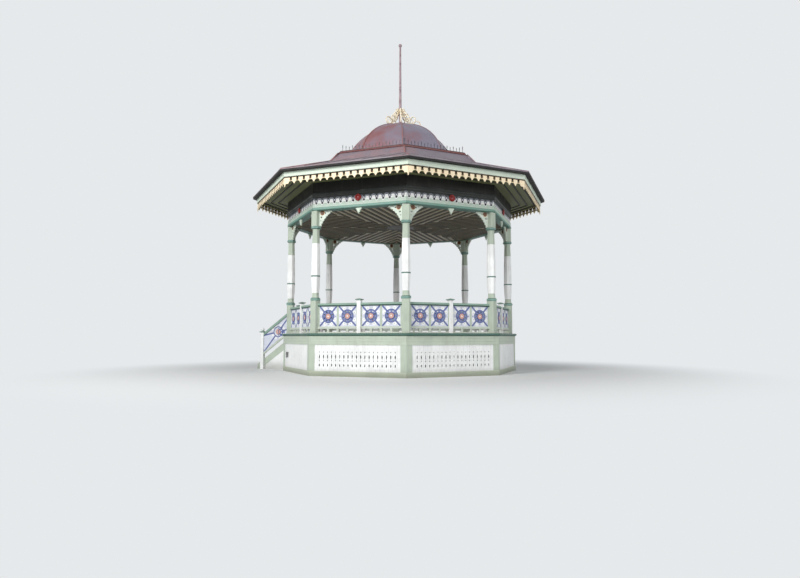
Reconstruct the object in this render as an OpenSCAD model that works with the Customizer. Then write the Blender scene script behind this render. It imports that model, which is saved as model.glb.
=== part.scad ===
// Octagonal park bandstand: boarded base, fretwork balustrade, eight posts,
// pierced frieze, boarded eave with a lobed valance, and a copper roof with a dome.
// Millimetres, +Z up. The origin is on the ground under the flagpole.
// Posts stand on the axes and diagonals; the entrance stair is on the left rear side.

/* [Overall] */
// Distance from the centre to each post's centre
col_r = 4000; // [3400:50:4800]
// Height of the deck above the ground
deck_z = 1330; // [1100:10:1600]
// Clear height from the deck to the ring beam
beam_h = 3910; // [3300:10:4700]
// Overhang of the eave beyond the post line
eave_out = 1200; // [1000:10:1450]

/* [Base] */
// Face of the base wall beyond the post line
base_out = 217; // [180:1:300]
// Thickness of the base boards
wall_t = 30; // [20:1:45]
// Height of the skirting
skirting_h = 160; // [120:5:220]
// Height of the fascia band under the deck
fascia_h = 265; // [200:5:320]
// Width of each leaf of the corner boards
corner_w = 190; // [120:5:260]
// Height of the deck nosing
nosing_h = 90; // [70:1:110]
// Projection of the deck nosing
nosing_out = 64; // [40:1:90]
// Thickness of the deck boards
deck_t = 45; // [30:1:60]
// Depth of the floor joists
joist_h = 200; // [150:5:240]
// Spacing of the slots in the base panels
slot_pitch = 140; // [120:1:180]
// Width of the ventilator in the base wall
vent_w = 450; // [300:10:600]
// Height of the ventilator
vent_h = 200; // [120:5:240]
// Height of the ventilator above the skirting
vent_up = 330; // [200:10:380]

/* [Posts] */
// Width of the square foot and head of each post
post_w = 250; // [200:1:300]
// Chamfer on the corners of the foot and head
post_chamfer = 34; // [15:1:50]
// Width of the shaft at the middle ring
shaft_w = 264; // [220:1:290]
// Width of the shaft at its ends
shaft_end_w = 204; // [160:1:240]
// Width of the moulded collars
collar_w = 304; // [270:1:340]
// Height of the lower collar above the deck
lower_collar_h = 1030; // [960:5:1200]
// Height of the middle ring above the deck
mid_ring_h = 1816; // [1600:5:2100]
// Depth of the post head under the ring beam
head_h = 490; // [420:5:560]

/* [Balustrade] */
// Height of the top rail above the deck
rail_h = 940; // [850:5:1100]
// Width of the top rail
rail_w = 110; // [80:1:130]
// Depth of the top rail
rail_t = 95; // [70:1:120]
// Depth of the bottom rail
sill_t = 75; // [50:1:100]
// Gap between the deck and the bottom rail
sill_gap = 140; // [100:5:180]
// Height of the kerb on the deck under the bottom rail
kerb_h = 40; // [25:1:60]
// Width of the newel in the middle of each bay
newel_w = 125; // [100:1:150]
// Height of a newel above the top rail
newel_up = 75; // [40:1:120]
// Thickness of the fretted boards
fret_t = 22; // [16:1:32]
// Width of the stiles between panels
stile_w = 70; // [50:1:85]

/* [Entablature] */
// Width of the ring beam
beam_w = 264; // [240:1:320]
// Depth of the ring beam
beam_t = 100; // [80:5:140]
// Height of the scalloped strip on the frieze
strip_h = 110; // [80:5:130]
// Height of the pierced frieze above the strip
frieze_h = 200; // [160:5:260]
// Height of the boards above the frieze
cornice_h = 500; // [400:5:600]
// Motifs of the frieze between the roundel and each corner
frieze_units = 6; // [4:1:7]
// Diameter of the frieze roundels
roundel_d = 220; // [150:5:230]
// Width of the fretted brackets beside each post
bracket_w = 430; // [300:5:480]
// Height of the fretted brackets
bracket_h = 470; // [340:5:480]

/* [Eave] */
// Height of the eave fascia
eave_h = 150; // [110:5:200]
// Thickness of soffit and fascia boards
eave_t = 25; // [18:1:35]
// Depth of the valance below the soffit
valance_h = 250; // [180:5:280]
// Lobes along each side of the valance
valance_lobes = 18; // [14:1:22]
// Projection of the roof edge beyond the fascia
edge_out = 135; // [80:5:180]
// Thickness of the roof edge
edge_h = 52; // [35:1:80]

/* [Roof] */
// Thickness of the roof boards and sheet
roof_t = 26; // [20:1:40]
// Rise of the lower roof from its edge to the band
skirt_rise = 680; // [450:10:900]
// Setback of the band's foot inside the post line
band_in = 525; // [400:5:700]
// Run of the sloping band
band_run = 455; // [300:5:500]
// Rise of the sloping band
band_h = 445; // [350:5:550]
// Width of the ledge between the band and the dome
ledge_w = 855; // [700:5:1100]
// Height of the dome above the ledge
dome_h = 1675; // [1400:5:2000]
// Height of the red moulding round the band's top
crest_mould_h = 100; // [70:5:130]
// Height of the cresting
crest_h = 180; // [140:5:260]
// Spacing of the cresting's spikes
crest_pitch = 121; // [100:1:160]
// Width of the ribs on the dome's hips
rib_w = 44; // [30:1:70]
// Height of the crown of scrolls above the dome
crown_h = 630; // [560:5:680]
// Length of the flagpole above the dome
pole_h = 3125; // [2500:5:3700]
// Diameter of the flagpole's foot
pole_d = 112; // [80:1:140]
// Diameter of the flagpole's ball
ball_d = 130; // [100:1:180]

/* [Stair] */
// Number of risers from the ground to the deck
risers = 7; // [6:1:8]
// Going of each tread
going = 260; // [230:1:280]
// Clear width between the strings
stair_w = 1520; // [1200:10:1600]
// Thickness of the strings
string_t = 50; // [35:1:70]
// Thickness of the treads
tread_t = 40; // [30:1:60]
// Diameter of the balls on the stair's newels
finial_d = 120; // [90:1:160]

/* [Hidden] */
$fn = 40;

// Half the angle of one side, and the side that the stair leaves
HALF = 22.5;
STAIR = 5;
CLOSED = [0, 1, 2, 3, 4, 6, 7];
FRETTED_BASE = [0, 3, 4, 7];
PLAIN_BASE = [1, 2, 5];
VENTED_BASE = [6];
CRESTED = [0, 3, 4, 7];
// Open joint at each mitre, how far fused pieces run into each other, and the reach of a cut
joint = 3;
lap = 10;
eps = 1;

// Distances from the axis to the flat of a side
col_a = col_r * cos(HALF);
half_bay = col_r * sin(HALF);
base_a = col_a + base_out;
deck_a = base_a + nosing_out;
beam_in = col_a - beam_w / 2;
beam_out = col_a + beam_w / 2;
eave_a = col_a + eave_out;
edge_a = eave_a + edge_out;
band_foot_a = col_a - band_in;
band_top_a = band_foot_a - band_run;
dome_a = band_top_a - ledge_w;

// Boards of the frieze, the board behind it that carries the roof, and the back of the cornice
strip_t = 18;
frieze_t = 20;
mound_h = 18;
plate_t = 60;
cornice_back = -14;

// Spacing of the frieze's motifs and the gaps between them along one side: the roundel stands
// in the middle of a wide motif, and half a motif meets each corner
frieze_wide = 0.85;
frieze_pitch = beam_out * tan(HALF) / (frieze_units + frieze_wide + 0.5);
frieze_gaps = [for (m = [-1, 1], i = [0:frieze_units]) m * (frieze_wide + i) * frieze_pitch];

// How far each layer of a fretted board stands up from its face
lobe_up = 3;
arm_up = 7;
rosette_up = 13;
button_up = 19;

// Heights above the ground
fascia_z = deck_z - nosing_h - fascia_h;
beam_z = deck_z + beam_h;
strip_z = beam_z + beam_t;
frieze_z = strip_z + strip_h;
cornice_z = frieze_z + frieze_h;
soffit_z = cornice_z + cornice_h;
fascia_low_z = soffit_z - eave_t;
fascia_top_z = fascia_low_z + eave_h;
edge_z = fascia_top_z + edge_h + roof_t;
band_z = edge_z + skirt_rise;
ledge_z = band_z + band_h;
dome_top_z = ledge_z + dome_h;
top_rail_z = deck_z + rail_h - rail_t;
sill_z = deck_z + sill_gap;
panel_z = sill_z + sill_t;
panel_h = top_rail_z - panel_z;
post_face = half_bay - post_w / 2 / cos(HALF);
panel_w = (post_face - newel_w / 2 - 2 * stile_w) / 2;

// Height of the cap on each newel, how far it stands out, and the height of its drip
newel_cap = 66;
cap_out = 42;
cap_drip = 18;

// Opening round the flagpole, steps along the dome's curve, how far its ribs stand up from it,
// and its fullness, where 2 is an ellipse and more is fuller at the shoulder
dome_eye = 100;
dome_steps = 20;
rib_up = 16;
dome_full = 1.86;

// Stair sizes
rise = deck_z / risers;
stair_half = stair_w / 2 + string_t;
newel_x = stair_half + newel_w / 2;
stair_run = (risers - 1) * going;
stair_newel_out = stair_run - going;
rail_slope = rise / going;

// Height of the flagpole's foot, and radius of the turned socket round it
pole_foot = dome_top_z - 60;
socket_r = pole_d / 2 + 70;

// Colours
sage = [0.77, 0.82, 0.75];
green = [0.37, 0.52, 0.47];
cream = [0.95, 0.88, 0.66];
white = [0.97, 0.97, 0.96];
copper = [0.55, 0.47, 0.49];
rust = [0.52, 0.31, 0.28];
dark = [0.16, 0.16, 0.15];

function side_angle(k) = -67.5 + 45 * k;
function post_angle(k) = -90 + 45 * k;
function slope_at(a, a0, z0, a1, z1) = z0 + (z1 - z0) * (a - a0) / (a1 - a0);
// Top of the lower roof at a distance from the axis
function roof_z(a) = slope_at(a, edge_a, edge_z, band_foot_a, band_z);

// Children are drawn once a side, with X along the side and Y outward
module sides(list = [0:7]) {
    for (k = list)
        rotate([0, 0, side_angle(k) - 90]) children();
}

// Children are drawn once a corner, with Y outward through the corner
module corners(list = [0:7]) {
    for (k = list)
        rotate([0, 0, post_angle(k) - 90]) children();
}

// The plan of one side between its two mitres
module sector(gap) {
    reach = 9000;
    tip = gap / 2 / sin(HALF);
    half = reach * tan(HALF) - gap / 2 / cos(HALF);
    polygon([[0, tip], [half, reach], [-half, reach]]);
}

// One mitred length of an outline of [distance from the axis, height] points
module moulding(outline, gap = joint) {
    far = max([for (p = outline) p.x]) * tan(HALF) + eps;
    low = min([for (p = outline) p.y]) - eps;
    high = max([for (p = outline) p.y]) + eps;
    intersection() {
        rotate([90, 0, 90])
            linear_extrude(2 * far, center = true) polygon(outline);
        translate([0, 0, low])
            linear_extrude(high - low) sector(gap);
    }
}

// A plate standing in a side's plane, drawn in [along, height], centred on a distance
module plate(a, t) {
    translate([0, a + t / 2, 0])
        rotate([90, 0, 0]) linear_extrude(t) children();
}

// The same plate with its ends cut to the mitres
module mitred_plate(a, t, low, high) {
    intersection() {
        plate(a, t) children();
        translate([0, 0, low]) linear_extrude(high - low) sector(joint);
    }
}

// The square of each post beside a bay, which rails and brackets butt against
module post_seats(low, high) {
    for (m = [0, 1])
        mirror([m, 0, 0]) translate([half_bay, col_a, (low + high) / 2]) rotate([0, 0, -HALF])
            cube([post_w, post_w, high - low], center = true);
}

// A pointed oval of a length and width, standing on its lower tip
module petal(len, wid) {
    r = (len * len + wid * wid) / (4 * wid);
    translate([0, len / 2])
        intersection() {
            translate([r - wid / 2, 0]) circle(r);
            translate([wid / 2 - r, 0]) circle(r);
        }
}

// ---- Base ----

module skirting() {
    color(sage) sides()
        moulding([
            [base_a - wall_t - 10, 0], [base_a + 12, 0], [base_a + 12, skirting_h - 22],
            [base_a, skirting_h], [base_a - wall_t - 10, skirting_h]
        ]);
}

// Slots and round holes sawn through one upright of the fretted base
module base_slots() {
    low = skirting_h;
    span = fascia_z - skirting_h;
    translate([0, low + 0.72 * span]) circle(d = 34);
    translate([0, low + 0.46 * span]) petal(0.17 * span, 40);
    translate([0, low + 0.40 * span]) circle(d = 36);
    translate([0, low + 0.16 * span]) petal(0.13 * span, 38);
}

// Louvred opening beside the far end of a base panel
module vent(end) {
    rows = 5;
    louvre = 10;
    step = vent_h / rows;
    for (i = [0:rows - 1])
        translate([end - vent_w, skirting_h + vent_up + i * step]) square([vent_w, step - louvre]);
}

module base_panel(fretted, vented) {
    half = base_a * tan(HALF) - corner_w;
    count = floor((2 * half - slot_pitch) / slot_pitch / 2);
    plate(base_a - wall_t / 2 - 12, wall_t)
        difference() {
            translate([-half, skirting_h]) square([2 * half, fascia_z - skirting_h]);
            if (fretted)
                for (i = [-count:count])
                    translate([i * slot_pitch, 0]) base_slots();
            if (vented)
                vent(half - 25);
        }
}

module base_panels() {
    color(white) {
        sides(FRETTED_BASE) base_panel(true, false);
        sides(PLAIN_BASE) base_panel(false, false);
        sides(VENTED_BASE) base_panel(false, true);
    }
}

module corner_boards() {
    half = base_a * tan(HALF);
    inner = base_a - wall_t - 12;
    color(sage) corners() translate([0, 0, skirting_h])
        linear_extrude(fascia_z - skirting_h)
            for (m = [0, 1])
                mirror([m, 0]) rotate(HALF)
                    polygon([
                        [half - corner_w, base_a], [half, base_a],
                        [inner * tan(HALF), inner], [half - corner_w, inner]
                    ]);
}

// Flat band with two shallow grooves
module deck_fascia() {
    face = base_a + 10;
    back = base_a - wall_t - 12;
    groove = 8;
    step = fascia_h / 3;
    color(sage) sides()
        moulding(concat(
            [[back, fascia_z], [face, fascia_z]],
            [for (i = [1, 2]) each [
                [face, fascia_z + i * step - groove], [face - groove, fascia_z + i * step],
                [face, fascia_z + i * step + groove]
            ]],
            [[face, fascia_z + fascia_h], [back, fascia_z + fascia_h]]
        ));
}

// Rounded edge of the deck
module deck_nosing() {
    low = deck_z - nosing_h;
    r = nosing_h / 3;
    color(green) sides()
        moulding(concat(
            [[base_a, low], [deck_a - 2 * r, low], [deck_a - r, low + r / 2]],
            [for (t = [-60:30:60]) [deck_a - r + r * cos(t), deck_z - r - 8 + r * sin(t)]],
            [[deck_a - r, deck_z], [base_a, deck_z]]
        ));
}

module deck() {
    color("tan") translate([0, 0, deck_z - deck_t])
        cylinder(h = deck_t, r = base_a / cos(HALF), $fn = 8);
}

module floor_joists() {
    pitch = 600;
    count = floor(base_a / pitch);
    inner = (base_a - wall_t - 12) / cos(HALF);
    low = deck_z - deck_t - joist_h;
    color("burlywood")
        intersection() {
            translate([0, 0, low]) cylinder(h = joist_h, r = inner, $fn = 8);
            for (i = [-count:count])
                translate([i * pitch - 30, -base_a, low]) cube([60, 2 * base_a, joist_h]);
        }
}

// ---- Posts ----

function flats(w) = w / 2 / cos(HALF);
// Width of the shaft between two widths, swelling fast at first
function swell(w0, w1, t) = w0 + (w1 - w0) * sin(90 * t);

module post_block(low, high) {
    translate([0, 0, low]) linear_extrude(high - low)
        intersection() {
            square(post_w, center = true);
            rotate(45) square((post_w - post_chamfer) * sqrt(2), center = true);
        }
}

// Eight-sided shaft with its collars and middle ring, from collar to collar
module post_shaft(low, high) {
    ring_z = deck_z + mid_ring_h;
    foot = low + 190;
    head = high - 130;
    steps = 4;
    rotate([0, 0, HALF])
        rotate_extrude($fn = 8)
            polygon(concat(
                [
                    [0, low], [flats(post_w), low], [flats(collar_w), low + 24],
                    [flats(collar_w), low + 70], [flats(post_w), low + 92],
                    [flats(shaft_end_w + 24), low + 118], [flats(shaft_end_w), foot]
                ],
                [for (i = [1:steps]) [
                    flats(swell(shaft_end_w, shaft_w, i / steps)),
                    foot + (ring_z - 18 - foot) * i / steps
                ]],
                [
                    [flats(shaft_w + 16), ring_z - 12], [flats(shaft_w + 16), ring_z + 12],
                    [flats(shaft_w), ring_z + 18]
                ],
                [for (i = [steps - 1:-1:0]) [
                    flats(swell(shaft_end_w, shaft_w, i / steps)),
                    head + (ring_z + 18 - head) * i / steps
                ]],
                [
                    [flats(shaft_end_w + 24), high - 100], [flats(post_w), high - 80],
                    [flats(collar_w), high - 66], [flats(collar_w), high - 24],
                    [flats(post_w), high], [0, high]
                ]
            ));
}

module columns() {
    low = deck_z + lower_collar_h;
    high = beam_z - head_h;
    color(sage) corners() translate([0, col_r, 0]) {
        post_block(deck_z, low + lap);
        post_shaft(low, high);
        post_block(high - lap, beam_z);
    }
}

// ---- Balustrade ----

// Ring of a panel with two crossed arms of a length, each at its own angle
module fret_cross(w, angles, reach) {
    difference() {
        union() {
            circle(0.355 * w);
            for (t = angles)
                rotate(t) square([reach, 0.085 * w], center = true);
        }
        circle(0.295 * w);
    }
}

// Round holes inside the ring, and pointed and round ones between the lobes outside it
module fret_holes(w) {
    for (t = [0:45:315])
        rotate(t + HALF) translate([0.238 * w, 0]) circle(0.045 * w);
    for (t = [0:90:270])
        rotate(t) {
            translate([0, 0.372 * w]) petal(0.095 * w, 0.045 * w);
            for (m = [-1, 1])
                rotate(24 * m) translate([0, 0.425 * w]) circle(0.021 * w);
        }
}

module fret_rosette(w) {
    circle(0.12 * w);
    for (t = [0:45:315])
        rotate(t) translate([0.125 * w, 0]) circle(0.056 * w);
}

// Round lobes along the edges of a panel, two between each two arms
module fret_lobes(w) {
    for (t = [0:90:270], m = [-1, 1])
        rotate(t) translate([0.39 * w, 0.19 * w * m]) circle(0.1 * w);
}

// Fretted board of the children's outline: lobes, ring with arms, rosette and button
// stand up from it one above the other on both faces
module fretted_board(w, angles, reach) {
    difference() {
        union() {
            linear_extrude(fret_t, center = true) children();
            linear_extrude(fret_t + 2 * lobe_up, center = true)
                intersection() {
                    children();
                    fret_lobes(w);
                }
            linear_extrude(fret_t + 2 * arm_up, center = true)
                intersection() {
                    children();
                    fret_cross(w, angles, reach);
                }
            linear_extrude(fret_t + 2 * rosette_up, center = true) fret_rosette(w);
            linear_extrude(fret_t + 2 * button_up, center = true) circle(0.05 * w);
        }
        linear_extrude(3 * fret_t, center = true) fret_holes(w);
    }
}

// One upright panel centred on the origin of its plate
module fret_panel(w, h) {
    fretted_board(w, [for (s = [-1, 1]) s * atan2(h, w)], sqrt(w * w + h * h))
        square([w + 2, h], center = true);
}

// Panels and stiles from the newel to the post, on one hand of a bay
module fret_half(low, high, from, count, stile) {
    pitch = panel_w + stile;
    for (i = [0:count - 1]) {
        translate([from + stile / 2 + panel_w / 2 + i * pitch, col_a, (low + high) / 2])
            rotate([90, 0, 0]) fret_panel(panel_w, high - low);
        translate([from + (i + 1) * pitch - stile / 2, col_a - fret_t / 2 - 5, low])
            cube([i == count - 1 ? 2 * stile : stile, fret_t + 10, high - low]);
    }
    translate([from, col_a - fret_t / 2 - 5, low])
        cube([stile / 2, fret_t + 10, high - low]);
}

module balustrade(k) {
    color(white) sides([k])
        difference() {
            for (m = [0, 1])
                mirror([m, 0, 0])
                    fret_half(panel_z, top_rail_z, newel_w / 2, 2, stile_w);
            post_seats(deck_z, beam_z);
        }
}

module balustrade_1() { balustrade(CLOSED[0]); }
module balustrade_2() { balustrade(CLOSED[1]); }
module balustrade_3() { balustrade(CLOSED[2]); }
module balustrade_4() { balustrade(CLOSED[3]); }
module balustrade_5() { balustrade(CLOSED[4]); }
module balustrade_6() { balustrade(CLOSED[5]); }
module balustrade_7() { balustrade(CLOSED[6]); }

// Short fretted board each side of the entrance
module entrance_panels() {
    from = newel_x + newel_w / 2;
    w = post_face - from;
    color(white) sides([STAIR])
        difference() {
            for (m = [0, 1])
                mirror([m, 0, 0])
                    translate([from + w / 2, col_a, (panel_z + top_rail_z) / 2])
                        rotate([90, 0, 0])
                            fretted_board(0.92 * w, [-1, 1] * atan2(panel_h, w), 2 * panel_h)
                                square([w + 60, panel_h], center = true);
            for (m = [0, 1])
                mirror([m, 0, 0]) translate([from - newel_w, col_a - newel_w / 2, deck_z])
                    cube([newel_w, newel_w, rail_h + newel_up]);
            post_seats(deck_z, beam_z);
        }
}

// Rails from a newel's face to the post, on both hands of a bay
module rail_pair(from, low, section) {
    difference() {
        for (m = [0, 1])
            mirror([m, 0, 0]) translate([from, col_a, low])
                rotate([90, 0, 90]) linear_extrude(half_bay - from) polygon(section);
        post_seats(deck_z, beam_z);
    }
}

// A bar level over the deck's edge, then down the stair's slope to its newel
module sloped(low, depth, width) {
    run = stair_newel_out - newel_w / 2;
    fall = run * rail_slope;
    rotate([90, 0, 90])
        linear_extrude(width, center = true)
            polygon([
                [col_a + newel_w / 2, low], [col_a + newel_w / 2, low + depth],
                [deck_a, low + depth], [deck_a + run, low + depth - fall],
                [deck_a + run, low - fall], [deck_a, low]
            ]);
}

module top_rails() {
    w = rail_w / 2;
    section = [
        [-w + 18, 0], [w - 18, 0], [w - 10, 26], [w, 34], [w, rail_t - 26],
        [w - 26, rail_t], [-w + 26, rail_t], [-w, rail_t - 26], [-w, 34], [-w + 10, 26]
    ];
    color(green) {
        sides(CLOSED) rail_pair(newel_w / 2, top_rail_z, section);
        sides([STAIR]) rail_pair(newel_x + newel_w / 2, top_rail_z, section);
    }
}

module bottom_rails() {
    w = 35;
    chamfer = 14;
    section = [
        [-w, 0], [w, 0], [w, sill_t - chamfer], [w - chamfer, sill_t], [chamfer - w, sill_t],
        [-w, sill_t - chamfer]
    ];
    kerb = [[-w, 0], [w, 0], [w, kerb_h], [-w, kerb_h]];
    block_w = 80;
    block_t = 54;
    pitch = panel_w + stile_w;
    color(cream) {
        sides(CLOSED) {
            rail_pair(newel_w / 2, sill_z, section);
            rail_pair(newel_w / 2, deck_z, kerb);
            for (m = [0, 1], i = [0.5, 1, 1.5])
                mirror([m, 0, 0])
                    translate([newel_w / 2 + i * pitch - block_w / 2, col_a - block_t / 2, deck_z])
                        cube([block_w, block_t, sill_gap + eps]);
        }
        sides([STAIR]) {
            rail_pair(newel_x + newel_w / 2, sill_z, section);
            for (m = [-1, 1])
                translate([m * newel_x, 0, 0]) sloped(panel_z - sill_t, sill_t, 2 * w);
        }
    }
}

// Square newel with a broad moulded cap and a low pyramid
module newel(base_z, top_z) {
    w = newel_w / 2;
    translate([-w, -w, base_z]) cube([newel_w, newel_w, top_z - base_z]);
    rotate([0, 0, 45])
        rotate_extrude($fn = 4)
            polygon([for (p = [
                [0, -eps], [w - 1, -eps], [w + 18, 10], [w + cap_out, cap_drip],
                [w + cap_out, 2 * cap_drip], [w + 12, 46], [0, newel_cap]
            ]) [p.x * sqrt(2), top_z + p.y]]);
}

module rail_newels() {
    color(white) {
        sides(CLOSED) translate([0, col_a, 0]) newel(deck_z, deck_z + rail_h + newel_up);
        sides([STAIR])
            for (m = [-1, 1])
                translate([m * newel_x, col_a, 0]) newel(deck_z, deck_z + rail_h + newel_up);
    }
}

// ---- Stair ----

module stair_treads() {
    color("tan") sides([STAIR])
        for (i = [1:risers - 1])
            translate([-stair_w / 2, deck_a + stair_run - i * going, i * rise - tread_t])
                cube([stair_w, going + 22, tread_t]);
}

module stair_risers() {
    color(white) sides([STAIR])
        for (i = [0:risers - 1])
            translate([-stair_w / 2, deck_a + stair_run - i * going - 20, i * rise])
                cube([stair_w, 20, rise - (i == risers - 1 ? nosing_h : tread_t)]);
}

module stair_strings() {
    run = stair_run;
    top = deck_z - nosing_h;
    up = 60;
    color(sage) sides([STAIR])
        for (m = [0, 1])
            mirror([m, 0, 0]) translate([stair_w / 2, 0, 0])
                rotate([90, 0, 90]) linear_extrude(string_t)
                    polygon([
                        [base_a + 12, top - 220], [base_a + 12, top], [deck_a, top], [deck_a, top + up],
                        [deck_a + run, up + 120], [deck_a + run, 0], [deck_a + run - 120, 0],
                        [deck_a, top - 220]
                    ]);
}

module stair_sides() {
    t = 22;
    top = deck_z - nosing_h - 220;
    color(white) sides([STAIR])
        for (m = [0, 1])
            mirror([m, 0, 0]) translate([stair_w / 2 + string_t - t - 10, 0, 0])
                rotate([90, 0, 90]) linear_extrude(t)
                    polygon([
                        [base_a + 12, 0], [base_a + 12, top], [deck_a, top], [deck_a + stair_run - 120, 0]
                    ]);
}

// The sloping rail passes just under the edge of each cap
module stair_newels() {
    rail_z = deck_z + rail_h - stair_newel_out * rail_slope;
    top_z = rail_z + (newel_w / 2 + cap_out) * rail_slope - cap_drip + 2;
    color(white) sides([STAIR])
        for (m = [-1, 1])
            translate([m * newel_x, deck_a + stair_newel_out, 0]) {
                newel(0, top_z);
                translate([0, 0, top_z + newel_cap - lap + finial_d / 2]) sphere(d = finial_d);
            }
}

module stair_rails() {
    color(green) sides([STAIR])
        for (m = [-1, 1])
            translate([m * newel_x, 0, 0]) sloped(top_rail_z, rail_t, rail_w);
}

// Fretted boards under the sloping rails, with the motif in the middle of the slope
module stair_panels() {
    half = (stair_newel_out - newel_w / 2) / 2;
    drop = half * rail_slope;
    up = panel_h / 2;
    middle = [deck_a + half, panel_z + up - drop];
    long = [2 * half, 2 * (drop + up)];
    short = [2 * half, 2 * (drop - up)];
    color(white) sides([STAIR])
        for (m = [-1, 1])
            translate([m * newel_x, 0, 0]) {
                translate([-fret_t / 2, col_a + newel_w / 2, panel_z])
                    cube([fret_t, deck_a - col_a - newel_w / 2 + eps, panel_h]);
                translate([0, middle.x, middle.y]) rotate([90, 0, 90])
                    fretted_board(0.92 * panel_h, [-atan2(long.y, long.x), -atan2(short.y, short.x)],
                        norm(long))
                        polygon([
                            [-half, drop + up], [-half, drop - up], [half, -drop - up], [half, up - drop]
                        ]);
            }
}

// ---- Entablature ----

// Plate over the posts, with the hidden board behind it that carries the roof
module ring_beam() {
    color(green) sides()
        moulding([
            [beam_in, beam_z], [beam_out, beam_z], [beam_out + 14, beam_z + 14],
            [beam_out + 14, beam_z + beam_t - 14], [beam_out, strip_z], [beam_in + plate_t, strip_z],
            [beam_in + plate_t, roof_z(beam_in + plate_t) - roof_t],
            [beam_in, roof_z(beam_in) - roof_t]
        ]);
}

// Strip with a mound under each motif of the frieze
module beam_strip() {
    half = beam_out * tan(HALF);
    color(sage) sides()
        mitred_plate(beam_out - strip_t / 2, strip_t, strip_z, frieze_z + mound_h)
            difference() {
                translate([-half, strip_z]) square([2 * half, strip_h + mound_h]);
                for (x = frieze_gaps)
                    translate([x, frieze_z + mound_h]) circle(d = 0.5 * frieze_pitch);
            }
}

// Pierced board: a drop between each two motifs and a round eye in the head of each
module frieze() {
    face = beam_out - strip_t;
    half = face * tan(HALF);
    color(white) sides()
        mitred_plate(face - frieze_t / 2, frieze_t, strip_z, cornice_z)
            difference() {
                translate([-half, strip_z]) square([2 * half, strip_h + frieze_h]);
                for (x = frieze_gaps)
                    translate([x, frieze_z]) {
                        translate([0, 2]) petal(0.25 * frieze_h, 0.21 * frieze_pitch);
                        translate([0, 0.66 * frieze_h]) circle(d = 0.15 * frieze_pitch);
                    }
                for (m = [-1, 1], i = [1:frieze_units])
                    translate([m * (frieze_wide + i - 0.5) * frieze_pitch, frieze_z + 0.76 * frieze_h])
                        circle(d = 0.17 * frieze_pitch);
            }
}

// Turned boss in the middle of each frieze, on a hub that holds it clear of the mouldings
module roundels() {
    r = roundel_d / 2;
    hub_r = 70;
    hub_h = 30;
    clear = 18;
    z = frieze_z + mound_h + clear + hub_r;
    color("darkred") sides()
        translate([0, beam_out - strip_t, z]) rotate([-90, 0, 0])
            rotate_extrude()
                polygon([
                    [0, 0], [hub_r, 0], [hub_r, hub_h], [r - 8, hub_h], [r, hub_h + 7],
                    [r, hub_h + 17], [r - 12, hub_h + 26], [r - 36, hub_h + 20], [r - 48, hub_h + 30],
                    [24, hub_h + 40], [0, hub_h + 42]
                ]);
}

// Moulded boards between the frieze and the soffit
module cornice() {
    z = cornice_z;
    top = soffit_z;
    face = beam_out;
    color(green) sides()
        moulding([
            [beam_in + plate_t, z], [face, z], [face + 18, z + 30], [face + 18, z + 70],
            [face + 44, z + 100], [face + 44, z + 150], [face + 16, z + 170], [face + 16, top],
            [face + cornice_back, top], [face + cornice_back, z + 30],
            [beam_in + plate_t, z + 30]
        ]);
}

// Fretted quadrant: a board with a hollow edge of beads and pierced rounds
module bracket_outline() {
    tip = [bracket_w, -35];
    toe = [55, -bracket_h];
    edge_r = 950;
    beads = 6;
    chord = tip - toe;
    away = [chord.y, -chord.x] / norm(chord);
    middle = (tip + toe) / 2 + away * sqrt(edge_r * edge_r - chord * chord / 4);
    from = atan2(tip.y - middle.y, tip.x - middle.x);
    to = atan2(toe.y - middle.y, toe.x - middle.x);
    difference() {
        union() {
            difference() {
                polygon([[0, 0], [bracket_w, 0], tip, toe, [0, -bracket_h]]);
                translate(middle) circle(edge_r, $fn = 240);
            }
            for (i = [0:beads])
                let (t = from + (to - from) * i / beads)
                    translate(middle + edge_r * [cos(t), sin(t)]) circle(20);
        }
        translate([215, -70]) circle(25);
        translate([70, -205]) circle(27);
        translate([55, -310]) circle(16);
        translate([305, -45]) circle(14);
        translate([32, -30]) circle(18);
    }
}

// Each bracket carries a round boss near the post
module brackets() {
    t = 42;
    boss_d = 116;
    boss_up = 14;
    sink = 16;
    color(sage) sides()
        difference() {
            for (m = [0, 1])
                mirror([m, 0, 0]) translate([post_face + sink, 0, beam_z]) mirror([1, 0, 0]) {
                    plate(col_a, t) bracket_outline();
                    plate(col_a, t + 2 * boss_up) translate([112, -68]) circle(d = boss_d);
                }
            post_seats(deck_z, beam_z);
        }
}

// Stepped drop under the middle of each beam
module beam_pendants() {
    t = 50;
    step_h = 45;
    widths = [95, 67, 39];
    drop = len(widths) * step_h;
    half = concat([for (i = [0:len(widths) - 1]) each [
        [widths[i], -i * step_h], [widths[i], -(i + 1) * step_h]
    ]], [[14, -drop], [14, -drop - 20]]);
    color(sage) sides()
        plate(beam_out - t, t)
            translate([0, beam_z])
                polygon(concat(half, [[0, -drop - 60]],
                    [for (i = [len(half) - 1:-1:0]) [-half[i].x, half[i].y]]));
}

// ---- Ceiling and eave ----

// Boarded ceiling in eight sectors, with a thin eight-sided board under the middle
module ceiling() {
    z = beam_z + 20;
    board_t = 24;
    hub_a = 520;
    hub_t = 15;
    color("tan") {
        sides() translate([0, 0, z])
            linear_extrude(board_t)
                intersection() {
                    sector(joint);
                    translate([-half_bay, 0]) square([2 * half_bay, beam_in]);
                }
        translate([0, 0, z - hub_t]) cylinder(h = hub_t, r = hub_a / cos(HALF), $fn = 8);
    }
}

module soffit() {
    from = beam_out + cornice_back;
    to = eave_a - eave_t;
    color("khaki") sides()
        moulding([
            [from, soffit_z], [to, soffit_z], [to, soffit_z + eave_t], [from, soffit_z + eave_t]
        ]);
}

module eave_fascia() {
    low = fascia_low_z;
    high = fascia_top_z;
    color(sage) sides()
        moulding([
            [eave_a - eave_t, low], [eave_a, low], [eave_a, high], [eave_a - eave_t, high]
        ]);
}

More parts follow.
